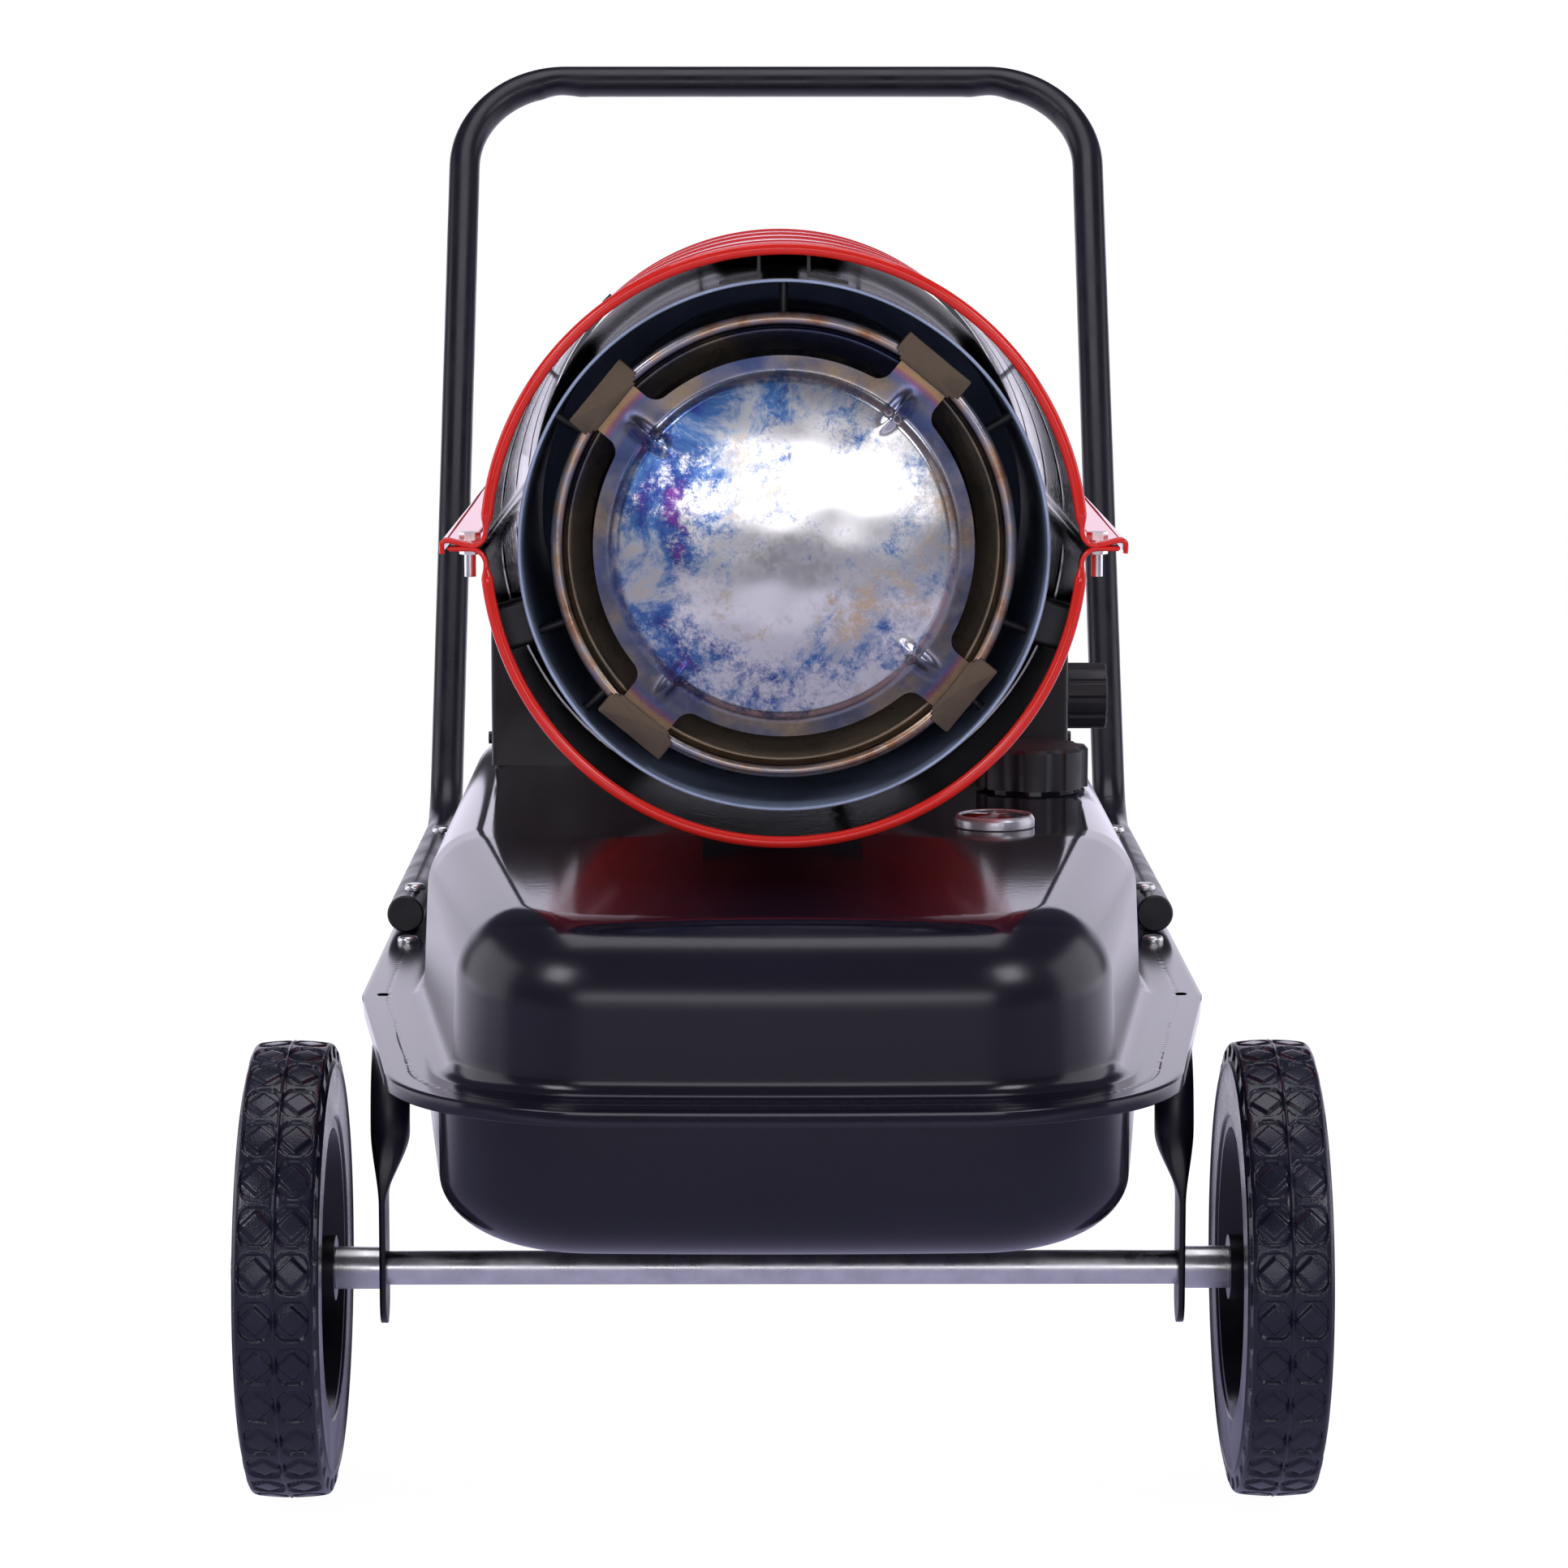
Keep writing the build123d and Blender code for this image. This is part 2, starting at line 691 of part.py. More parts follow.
with BuildPart() as box_base:
    with Locations((0, behind(box_mid_back), tank_top_height)):
        Box(2 * (box_half_width - box_sheet) - 0.6, box_depth - 2 * box_sheet - 0.6, box_sheet,
            align=(Align.CENTER, Align.CENTER, Align.MIN))
        for side in (-1, 1):
            with Locations((side * (box_half_width - box_sheet - 1.1), 0, 0)):
                Box(box_sheet, box_depth - 8, 22, align=(Align.CENTER, Align.CENTER, Align.MIN))
save("box_base", box_base.part)

with BuildPart() as box_screws:
    for side in (-1, 1):
        for back in (box_front_back + 12, box_rear_back - 22):
            with BuildSketch(side_on(side * box_half_width, back, tank_top_height + 16)):
                Circle(3.8)
            extrude(amount=side * 2.4)
save("box_screws", box_screws.part)

with BuildPart() as cord_gland:
    with BuildSketch(facing(box_rear_back, tank_top_height + gland_rise, gland_x)):
        Circle(gland_radius - 2.1)
        Circle(3.6, mode=Mode.SUBTRACT)
    extrude(amount=8, both=True)
    with BuildSketch(facing(box_rear_back, tank_top_height + gland_rise, gland_x)):
        RegularPolygon(gland_radius + 1.5, 6)
        Circle(3.6, mode=Mode.SUBTRACT)
    extrude(amount=-7)
save("cord_gland", cord_gland.part)

with BuildPart() as thermostat:
    with BuildSketch(side_on(box_half_width - box_sheet, knob_back, knob_height)):
        Rectangle(28, 28)
    extrude(amount=-20)
    with BuildSketch(side_on(box_half_width - box_sheet, knob_back, knob_height)):
        Circle(3.0)
    extrude(amount=knob_length - 4)
save("thermostat", thermostat.part)

with BuildPart() as thermostat_knob:
    with BuildSketch(side_on(box_half_width + seat_clearance, knob_back, knob_height)):
        Circle(knob_radius)
        with PolarLocations(knob_radius + 1.2, knob_flutes):
            Circle(2.6, mode=Mode.SUBTRACT)
    extrude(amount=knob_length)
    chamfer(thermostat_knob.faces().sort_by(Axis.X)[-1].outer_wire().edges(), 1.0)
    with BuildSketch(side_on(box_half_width + seat_clearance, knob_back, knob_height)):
        Circle(knob_radius + 1.0)
        Circle(3.0 + pin_clearance, mode=Mode.SUBTRACT)
    extrude(amount=2.0)
    with BuildSketch(side_on(box_half_width, knob_back, knob_height)):
        Circle(3.0 + pin_clearance)
    extrude(amount=knob_length - 3, mode=Mode.SUBTRACT)
save("thermostat_knob", thermostat_knob.part)

with BuildPart() as switch_frame:
    with BuildSketch(side_on(box_half_width, switch_back, knob_height)):
        RectangleRounded(23, 31, 2)
    extrude(amount=2)
    with BuildSketch(side_on(box_half_width, switch_back, knob_height)):
        Rectangle(18.6, 26.6)
    extrude(amount=-16)
    with BuildSketch(side_on(box_half_width + 2, switch_back, knob_height)):
        Rectangle(15, 25.6)
    extrude(amount=-16.5, mode=Mode.SUBTRACT)
    with BuildSketch(Plane(origin=(box_half_width - rocker_depth, behind(switch_back), knob_height),
                           x_dir=(1, 0, 0), z_dir=(0, -1, 0))):
        Circle(rocker_pin_radius)
    extrude(amount=8, both=True)
save("switch_frame", switch_frame.part)

with BuildPart() as rocker_switch:
    with BuildSketch(Plane.XZ):
        with BuildLine():
            Polyline(
                (5.5, -11.8), (3.2, 0), (5.5, 11.8), (0, 12.0), (-6, 8), (-6, -8), (0, -12.0), close=True)
        make_face()
        Circle(rocker_pin_radius + pin_clearance, mode=Mode.SUBTRACT)
    extrude(amount=7.2, both=True)
rocker_seat = (box_half_width - rocker_depth, behind(switch_back), knob_height)
rocker_place = Location(rocker_seat, (0, rocker_tilt, 0))
save("rocker_switch", rocker_switch.part.moved(rocker_place))

board_height = tank_top_height + board_rise
board_length = box_depth - board_margin
board_x = box_half_width - board_inset
with BuildPart() as circuit_board:
    with Locations((board_x, behind(box_mid_back), board_height)):
        Box(board_width, board_length, 1.6)
        with Locations((-board_width / 5, -board_length / 4, 6)):
            Box(18, 22, 12)
        with Locations((board_width / 10, board_length / 4, 5)):
            Box(14, 18, 10)
        with GridLocations(board_width - 10, board_length - 12, 2, 2):
            Cylinder(3, board_rise - box_sheet, align=(Align.CENTER, Align.CENTER, Align.MAX))
save("circuit_board", circuit_board.part)

with BuildPart() as ignition_transformer:
    with Locations((-box_half_width + 48, behind(box_mid_back - 14), tank_top_height + box_sheet)):
        Box(60, 84, 38, align=(Align.CENTER, Align.CENTER, Align.MIN))
    fillet(ignition_transformer.edges().filter_by(Axis.Z), 4)
save("ignition_transformer", ignition_transformer.part)


# ---------------------------------------------------------------- air shell
def shell_skin(inset):
    """Points (distance, radius) along the shell with its outward ribs, inset into the sheet."""
    points = [(shell_front_back + lip_radius, shell_outline_radius(shell_front_back) - inset)]
    for rib in range(rib_count):
        start = rib_first_back + rib * rib_pitch
        base = shell_outline_radius(start) - inset
        quarter = rib_width / 4
        points += [(start, base), (start + quarter, base + rib_height),
                   (start + 3 * quarter, base + rib_height), (start + rib_width, base)]
    points.append((shell_rear_back, shell_outline_radius(shell_rear_back) - inset))
    return points


def half_shell(up):
    """One half of the round air shell, with its rolled lip and its bolting ears."""
    spin = Axis((0, 0, nozzle_height), (0, -up, 0))
    flat = Plane(origin=(0, behind(0), nozzle_height), x_dir=(0, 1, 0), z_dir=(0, 0, -1))
    root = shell_radius - 2.0
    with BuildPart() as half:
        with BuildSketch(flat):
            with BuildLine():
                Polyline(*shell_skin(0), *reversed(shell_skin(shell_sheet)), close=True)
            make_face()
            with Locations((shell_front_back + lip_radius, shell_radius - shell_sheet / 2)):
                Circle(lip_radius)
        revolve(axis=spin, revolution_arc=180)
        for side in (-1, 1):
            ear_x = side * (root + ear_reach) / 2
            ear_z = nozzle_height + up * shell_sheet / 2
            with Locations((ear_x, behind((shell_front_back + shell_rear_back) / 2), ear_z)):
                Box(ear_reach - root, shell_length, shell_sheet)
            if up > 0:
                with Locations((side * (ear_reach - shell_sheet / 2),
                                behind((shell_front_back + shell_rear_back) / 2),
                                nozzle_height + shell_sheet - ear_hook / 2)):
                    Box(shell_sheet, shell_length, ear_hook)
        with Locations((0, behind(0), nozzle_height)):
            with Locations(*ear_bolt_spots):
                Cylinder(screw_radius + 0.2, 20, mode=Mode.SUBTRACT)
    return half


ear_bolt_spots = [(side * ear_bolt_x, back, 0) for side in (-1, 1) for back in ear_bolt_backs]
upper_shell = half_shell(1)
save("upper_shell", upper_shell.part)

with BuildPart() as lower_shell:
    add(half_shell(-1).part)
    for side in (-1, 1):
        with Locations((side * (ear_reach + 0.1), behind((shell_front_back + shell_rear_back) / 2),
                        nozzle_height - 1)):
            Box(2 * shell_sheet + 0.8, shell_length + 20, 8, mode=Mode.SUBTRACT)
    with Locations((fuel_line_x, behind(pipe_back), nozzle_height - shell_radius)):
        Cylinder(pipe_radius + 0.4, 30, mode=Mode.SUBTRACT)
save("lower_shell", lower_shell.part)

with BuildPart() as shell_bolts:
    for x, back, height in ear_bolt_spots:
        top = nozzle_height + shell_sheet
        with BuildSketch(Plane(origin=(x, behind(back), top))):
            Circle(6.6)
        extrude(amount=1.2)
        with BuildSketch(Plane(origin=(x, behind(back), top))):
            RegularPolygon(5.6, 6)
        extrude(amount=5)
        with BuildSketch(Plane(origin=(x, behind(back), top))):
            Circle(screw_radius)
        extrude(amount=-18)
        with BuildSketch(Plane(origin=(x, behind(back), nozzle_height - shell_sheet))):
            RegularPolygon(5.6, 6)
        extrude(amount=-4)
save("shell_bolts", shell_bolts.part)

with BuildPart() as shell_support:
    with BuildSketch(facing(support_back)):
        with Locations((0, (tank_top_height - nozzle_height) / 2)):
            Rectangle(support_width, nozzle_height - tank_top_height)
        Circle(shell_radius + 0.1, mode=Mode.SUBTRACT)
    extrude(amount=1, both=True)
    with Locations((0, behind(support_back + 12), tank_top_height)):
        Box(support_width, 24, 2, align=(Align.CENTER, Align.CENTER, Align.MIN))
save("shell_support", shell_support.part)


# ---------------------------------------------------------------- guard at the air inlet
def guard_back(radius):
    """The guard bulges rearwards as a shallow bowl."""
    return shell_rear_back - 2 + guard_bulge * (1 - (radius / guard_radius) ** 2)


guard_radius = shell_rear_radius - shell_sheet - 0.2 - guard_wire / 2
with BuildPart() as fan_guard:
    for ring in range(guard_rings):
        radius = guard_radius * (ring + 1) / guard_rings
        with BuildSketch(Plane(origin=(0, behind(0), nozzle_height), x_dir=(0, 1, 0), z_dir=(1, 0, 0))):
            with Locations((guard_back(radius), radius)):
                Rectangle(guard_wire - 0.6, guard_wire)
        revolve(axis=nozzle_axis)
    with BuildSketch(facing(guard_back(0), nozzle_height)):
        Circle(guard_hub_radius)
    extrude(amount=guard_wire / 2, both=True)
    for spoke in range(guard_spokes):
        angle = 360.0 / guard_spokes * (spoke + 0.5)
        ends = [guard_hub_radius - 5, guard_radius / 2, guard_radius]
        radial = (cos(radians(angle)), sin(radians(angle)))
        points = [(r * radial[0], behind(guard_back(r)), nozzle_height + r * radial[1]) for r in ends]
        with BuildLine() as spoke_line:
            ThreePointArc(*points)
        with BuildSketch(Plane(origin=points[0], z_dir=spoke_line.line % 0)):
            RegularPolygon(guard_wire / 2 + 0.15, 6)
        sweep()
save("fan_guard", fan_guard.part)

with BuildPart() as guard_screws:
    for turn in range(4):
        angle = radians(45 + 90 * turn)
        outward = (cos(angle), 0, sin(angle))
        seat = shell_rear_radius + 0.15
        place = (seat * outward[0], behind(shell_rear_back - 8), nozzle_height + seat * outward[2])
        with BuildSketch(Plane(origin=place, z_dir=outward)):
            Circle(3.6)
        extrude(amount=2.4)
save("guard_screws", guard_screws.part)


# ---------------------------------------------------------------- heat shield and chamber
drum_plane = side_on(0, 0, nozzle_height)
with BuildPart() as heat_shield:
    with BuildSketch(drum_plane):
        with BuildLine():
            inner = shield_radius - shield_sheet
            Polyline(
                (shield_front_back, inner), (shield_front_back, shield_radius + 0.8),
                (shield_front_back + 2, shield_radius + 0.8), (shield_front_back + 2, shield_radius),
                (shield_rear_back, shield_radius), (shield_rear_back, inner), close=True)
        make_face()
    revolve(axis=nozzle_axis)
save("heat_shield", heat_shield.part)

shell_inside = shell_radius - shell_sheet
with BuildPart() as top_bracket:
    with BuildSketch(facing(shield_front_back + 8)):
        foot_radius = shield_radius + 0.9
        with BuildLine():
            Polyline(
                (-hat_width / 2 - hat_foot, foot_radius - 3.4), (-hat_width / 2, foot_radius + 0.6),
                (-hat_width / 2, shell_inside - 1.4), (hat_width / 2, shell_inside - 1.4),
                (hat_width / 2, foot_radius + 0.6), (hat_width / 2 + hat_foot, foot_radius - 3.4),
                (hat_width / 2 + hat_foot, foot_radius - 1.8), (hat_width / 2 + 1.6, foot_radius + 2.2),
                (hat_width / 2 + 1.6, shell_inside - 0.9), (-hat_width / 2 - 1.6, shell_inside - 0.9),
                (-hat_width / 2 - 1.6, foot_radius + 2.2), (-hat_width / 2 - hat_foot, foot_radius - 1.8),
                close=True)
        make_face()
        Circle(shield_radius + 0.05, mode=Mode.SUBTRACT)
    extrude(amount=-hat_depth)
save("top_bracket", top_bracket.part)

with BuildPart() as side_brackets:
    for side in (-1, 1):
        angle = radians(-side_bracket_angle) if side > 0 else radians(180 + side_bracket_angle)
        outward = (cos(angle), 0, sin(angle))
        foot = shield_radius + 0.9
        height = sqrt(shell_inside ** 2 - side_bracket_half ** 2) - 0.3 - foot
        with BuildSketch(Plane(origin=(foot * outward[0], behind(shield_front_back + 22),
                                       nozzle_height + foot * outward[2]), x_dir=(0, 1, 0), z_dir=outward)):
            RectangleRounded(22, 2 * side_bracket_half, 3)
            RectangleRounded(17, 2 * side_bracket_half - 5, 2, mode=Mode.SUBTRACT)
        extrude(amount=height)
        with BuildSketch(Plane(origin=(foot * outward[0], behind(shield_front_back + 22),
                                       nozzle_height + foot * outward[2]), x_dir=(0, 1, 0), z_dir=outward)):
            Rectangle(19, 2 * side_bracket_half - 4)
        extrude(amount=2)
save("side_brackets", side_brackets.part)

with BuildPart() as chamber_screws:
    for turn in stud_angles:
        outward = (cos(radians(turn)), 0, sin(radians(turn)))
        start = chamber_radius + 0.1
        with BuildSketch(Plane(origin=(start * outward[0], behind(chamber_front_back + 30),
                                       nozzle_height + start * outward[2]), z_dir=outward)):
            Circle(stud_radius)
        extrude(amount=shield_radius - shield_sheet - start - 0.1)
save("chamber_screws", chamber_screws.part)

bead_back = chamber_front_back + chamber_bead
with BuildPart() as combustion_chamber:
    with BuildSketch(drum_plane):
        skin = chamber_radius - chamber_sheet
        throat = burner_tube_radius + 0.3
        with BuildLine():
            Polyline(
                (bead_back, chamber_radius), (chamber_rear_back, chamber_radius),
                (chamber_rear_back, throat), (chamber_rear_back - chamber_sheet, throat),
                (chamber_rear_back - chamber_sheet, skin), (bead_back + 15, skin),
                (bead_back + 11, chamber_mouth_radius + 1.5), (bead_back + 9.5, chamber_mouth_radius + 1.5),
                (bead_back + 9.5, chamber_mouth_radius), (bead_back + 12, chamber_mouth_radius),
                (bead_back, skin), close=True)
        make_face()
        with Locations((bead_back, chamber_radius - 0.6)):
            Circle(chamber_bead)
    revolve(axis=nozzle_axis)
save("combustion_chamber", combustion_chamber.part)

with BuildPart() as flame_baffle:
    with BuildSketch(facing(chamber_front_back)) as baffle_plan:
        Circle(baffle_radius)
        with PolarLocations(0, 4, start_angle=arm_angle):
            with Locations((arm_reach / 2 - 3, 0)):
                Rectangle(arm_reach - 6, arm_width)
        roots = baffle_plan.vertices().filter_by(
            lambda v: abs(sqrt(v.X ** 2 + v.Y ** 2) - baffle_radius) < 1.0)
        fillet(roots, arm_fillet)
        with PolarLocations(0, 4, start_angle=arm_angle):
            with Locations((arm_reach - head_depth / 2, 0)):
                Rectangle(head_depth, head_width)
        Circle(dome_radius - 2, mode=Mode.SUBTRACT)
    extrude(amount=baffle_sheet)
    for arm in range(4):
        angle = radians(arm_angle + 90 * arm)
        tip = arm_reach - baffle_sheet
        place = (tip * cos(angle), behind(chamber_front_back), nozzle_height + tip * sin(angle))
        with Locations(Location(place, (0, -degrees(angle), 0))):
            Box(baffle_sheet, 6, head_width, align=(Align.MIN, Align.MIN, Align.CENTER))
        ridge = dome_radius - 8
        with Locations(Location((ridge * cos(angle), behind(chamber_front_back) - baffle_sheet,
                                 nozzle_height + ridge * sin(angle)), (0, -degrees(angle), 0))):
            Box(26, 3, 6)
    with BuildSketch(drum_plane):
        front = chamber_front_back - baffle_sheet
        with BuildLine():
            bowl = (dome_radius ** 2 + dome_height ** 2) / (2 * dome_height)
            centre = front - dome_height + bowl
            sweep_angle = degrees(asin(dome_radius / bowl))
            outer = CenterArc((centre, 0), bowl, 180, -sweep_angle)
            inner_arc = CenterArc((centre, 0), bowl - baffle_sheet, 180, -sweep_angle)
            Line(outer @ 0, inner_arc @ 0)
            Line(outer @ 1, inner_arc @ 1)
        make_face()
    revolve(axis=nozzle_axis)
save("flame_baffle", flame_baffle.part)


# ---------------------------------------------------------------- burner
burner_rear_back = chamber_rear_back + burner_tube_length
with BuildPart() as burner_tube:
    with BuildSketch(drum_plane):
        front = chamber_rear_back - 14
        inner = burner_tube_radius - 1.5
        with BuildLine():
            Polyline(
                (front, burner_tube_radius), (chamber_rear_back, burner_tube_radius),
                (chamber_rear_back, burner_plate_radius), (chamber_rear_back + 2, burner_plate_radius),
                (chamber_rear_back + 2, burner_tube_radius), (burner_rear_back, burner_tube_radius),
                (burner_rear_back, nozzle_body_radius + 0.1),
                (burner_rear_back - 2, nozzle_body_radius + 0.1),
                (burner_rear_back - 2, inner), (front, inner), close=True)
        make_face()
    revolve(axis=nozzle_axis)
    with BuildSketch(facing(burner_rear_back)):
        with Locations((-electrode_offset, electrode_offset), (electrode_offset, electrode_offset)):
            Circle(electrode_radius + 0.1)
        with Locations((0, -28)):
            Circle(photocell_radius + 0.1)
        with PolarLocations(38, 8):
            Circle(4.5)
    extrude(amount=4, both=True, mode=Mode.SUBTRACT)
    with BuildSketch(facing(chamber_rear_back)):
        with PolarLocations(72, 20):
            SlotOverall(22, 4)
    extrude(amount=3, both=True, mode=Mode.SUBTRACT)
save("burner_tube", burner_tube.part)

with BuildPart() as flame_cone:
    with BuildSketch(drum_plane):
        back = burner_rear_back - 30
        edge = burner_tube_radius - 1.8
        with BuildLine():
            Polyline((back, 26), (back - 22, edge), (back - 20, edge), (back + 1.5, 27.5), close=True)
        make_face()
    revolve(axis=nozzle_axis)
    with BuildSketch(facing(back)):
        with PolarLocations(36, 12):
            Rectangle(14, 2.4)
    extrude(amount=30, both=True, mode=Mode.SUBTRACT)
save("flame_cone", flame_cone.part)

with BuildPart() as fuel_nozzle:
    with BuildSketch(drum_plane):
        with BuildLine():
            Polyline(
                (burner_rear_back - 34, 0), (burner_rear_back - 34, 2), (burner_rear_back - 26, 7),
                (burner_rear_back - 2, 7), (burner_rear_back - 2, nozzle_body_radius),
                (burner_rear_back + 4, nozzle_body_radius), (burner_rear_back + 4, 0), close=True)
        make_face()
    revolve(axis=nozzle_axis)
    with BuildSketch(facing(burner_rear_back)):
        RegularPolygon(nozzle_hex / 2 + 2, 6)
    extrude(amount=-5)
save("fuel_nozzle", fuel_nozzle.part)

with BuildPart() as electrodes:
    for side in (-1, 1):
        electrode_x = side * electrode_offset
        with BuildSketch(facing(burner_rear_back + 6, nozzle_height + electrode_offset, electrode_x)):
            Circle(electrode_radius)
        extrude(amount=34)
        tip = (side * electrode_offset, behind(burner_rear_back - 28), nozzle_height + electrode_offset)
        bend = (tip[0], tip[1] - 8, tip[2])
        spark = (side * 2.0, tip[1] - 18, nozzle_height + 5)
        with BuildLine() as wire:
            FilletPolyline(tip, bend, spark, radius=4)
        with BuildSketch(Plane(origin=tip, z_dir=(0, -1, 0))):
            RegularPolygon(1.1, 6)
        sweep()
save("electrodes", electrodes.part)

with BuildPart() as photocell:
    with BuildSketch(facing(burner_rear_back + 8, nozzle_height - 28)):
        Circle(photocell_radius)
    extrude(amount=24)
    with BuildSketch(facing(burner_rear_back, nozzle_height - 28)):
        Circle(photocell_radius + 2)
    extrude(amount=-3)
save("photocell", photocell.part)


# ---------------------------------------------------------------- motor, pump and fan
motor_rear_back = motor_front_back + motor_length
pump_front_back = motor_front_back - pump_length
rotor_radius = pump_radius - 9
shaft_bore = shaft_radius + shaft_clearance
with BuildPart() as motor_body:
    with BuildSketch(drum_plane):
        with BuildLine():
            Polyline(
                (motor_front_back, shaft_bore), (motor_front_back, motor_radius - 8),
                (motor_front_back + 8, motor_radius), (motor_rear_back - 10, motor_radius),
                (motor_rear_back, motor_radius - 10), (motor_rear_back, shaft_bore), close=True)
        make_face()
    revolve(axis=nozzle_axis)
    with BuildSketch(facing(motor_rear_back)):
        with PolarLocations(motor_radius - 20, 8):
            SlotOverall(16, 5)
    extrude(amount=3, mode=Mode.SUBTRACT)
save("motor_body", motor_body.part)

bracket_back = motor_front_back + motor_length * 0.55
with BuildPart() as motor_bracket:
    with BuildSketch(facing(bracket_back)):
        Circle(motor_radius + 3)
        with PolarLocations(0, 3, start_angle=90):
            with Locations(((motor_radius + motor_leg_reach) / 2, 0)):
                Rectangle(motor_leg_reach - motor_radius, 26)
        Circle(motor_radius + 0.1, mode=Mode.SUBTRACT)
    extrude(amount=bracket_thickness / 2, both=True)
    with BuildSketch(facing(bracket_back)):
        Circle(motor_radius + 3)
        Circle(motor_radius + 0.1, mode=Mode.SUBTRACT)
    extrude(amount=14, both=True)
save("motor_bracket", motor_bracket.part)

with BuildPart() as pump_housing:
    with BuildSketch(drum_plane):
        cavity = rotor_radius + 0.6
        with BuildLine():
            Polyline(
                (pump_front_back, 0), (pump_front_back, pump_radius), (motor_front_back, pump_radius),
                (motor_front_back, cavity), (pump_front_back + 6, cavity), (pump_front_back + 6, 0),
                close=True)
        make_face()
    revolve(axis=nozzle_axis)
    with BuildSketch(side_on(-pump_radius + 1, pump_front_back + 10, nozzle_height)):
        Circle(6)
    extrude(amount=-8)
save("pump_housing", pump_housing.part)

with BuildPart() as pump_rotor:
    with BuildSketch(facing(motor_front_back - 0.6)):
        Circle(rotor_radius)
        Circle(shaft_radius, mode=Mode.SUBTRACT)
        with PolarLocations(rotor_radius - 6, 4):
            Rectangle(14, 3, mode=Mode.SUBTRACT)
        with PolarLocations(rotor_radius - 6.2, 4):
            Rectangle(12, 2.8)
    extrude(amount=pump_length - 7.2)
save("pump_rotor", pump_rotor.part)

with BuildPart() as air_filter:
    with BuildSketch(facing(pump_front_back)):
        Circle(pump_radius - 3)
    extrude(amount=10)
    chamfer(air_filter.faces().sort_by(Axis.Y)[0].edges(), 2)
save("air_filter", air_filter.part)

shaft_front_back = pump_front_back + 7
shaft_rear_back = fan_back + 18
with BuildPart() as motor_shaft:
    with BuildSketch(facing(shaft_rear_back)):
        Circle(shaft_radius)
    extrude(amount=shaft_rear_back - shaft_front_back)
save("motor_shaft", motor_shaft.part)

with BuildPart() as fan:
    with BuildSketch(facing(fan_back)):
        Circle(fan_hub_radius)
    extrude(amount=14, both=True)
    for blade in range(fan_blades):
        angle = radians(360.0 / fan_blades * blade + 18)
        outward = Vector(cos(angle), 0, sin(angle))
        around = Vector(-sin(angle), 0, cos(angle))
        chord = around * cos(radians(fan_pitch)) + Vector(0, 1, 0) * sin(radians(fan_pitch))
        centre = Vector(0, behind(fan_back), nozzle_height)
        with BuildSketch(Plane(origin=centre, x_dir=outward, z_dir=outward.cross(chord))):
            with BuildLine():
                Polyline((fan_hub_radius - 4, -12), (50, -fan_chord * 0.46), (fan_radius, -fan_chord / 2))
                ThreePointArc((fan_radius, -fan_chord / 2), (fan_radius + 3, 0), (fan_radius, fan_chord / 2))
                Polyline((fan_radius, fan_chord / 2), (50, fan_chord * 0.40), (fan_hub_radius - 4, 12),
                         (fan_hub_radius - 4, -12))
            make_face()
        extrude(amount=0.8, both=True)
    with BuildSketch(facing(fan_back)):
        Circle(fan_radius)
    extrude(amount=60, both=True, mode=Mode.INTERSECT)
    with BuildSketch(facing(fan_back)):
        Circle(shaft_radius)
    extrude(amount=60, both=True, mode=Mode.SUBTRACT)
save("fan", fan.part)


# ---------------------------------------------------------------- pipes and leads
nozzle_tail = burner_rear_back + 5
with BuildPart() as fuel_line:
    start = (fuel_line_x, behind(pipe_back), tank_top_height + 2)
    with BuildLine() as run:
        FilletPolyline(
            start, (fuel_line_x, behind(pipe_back), nozzle_height),
            (5.0, behind(pipe_back), nozzle_height), (5.0, behind(nozzle_tail), nozzle_height), radius=6)
    with BuildSketch(Plane(origin=start)):
        Circle(pipe_radius)
    sweep()
    with BuildSketch(Plane(origin=(fuel_line_x, behind(pipe_back), tank_top_height))):
        RegularPolygon(8, 6)
    extrude(amount=9)
save("fuel_line", fuel_line.part)

with BuildPart() as air_line:
    start = (-5.0, behind(nozzle_tail), nozzle_height)
    port_x = -pump_radius - 7
    with BuildLine() as run:
        FilletPolyline(
            start, (-5.0, behind(pipe_back), nozzle_height), (port_x - 15, behind(pipe_back), nozzle_height),
            (port_x - 15, behind(pump_front_back + 10), nozzle_height),
            (port_x, behind(pump_front_back + 10), nozzle_height), radius=6)
    with BuildSketch(Plane(origin=start, z_dir=(0, 1, 0))):
        Circle(pipe_radius)
    sweep()
save("air_line", air_line.part)


# ---------------------------------------------------------------- handle
rail_front = (handle_half_width, behind(handle_front_back), handle_rail_height)
rail_bend = (handle_half_width, behind(handle_bend_back), handle_rail_height)
bar_corner = (handle_half_width, behind(handle_bar_back), handle_bar_height)
with BuildPart() as handle_tube:
    with BuildLine() as handle_path:
        FilletPolyline(
            rail_front, rail_bend, bar_corner,
            mirrored(bar_corner), mirrored(rail_bend), mirrored(rail_front),
            radius=[handle_foot_radius, handle_corner_radius,
                    handle_corner_radius, handle_foot_radius])
    with BuildSketch(Plane(origin=rail_front, z_dir=(0, 1, 0))):
        Circle(tube_radius)
        Circle(tube_radius - tube_wall, mode=Mode.SUBTRACT)
    sweep()
    with Locations(*handle_screw_places):
        Cylinder(screw_radius + 0.2, 80, mode=Mode.SUBTRACT)
save("handle_tube", handle_tube.part)

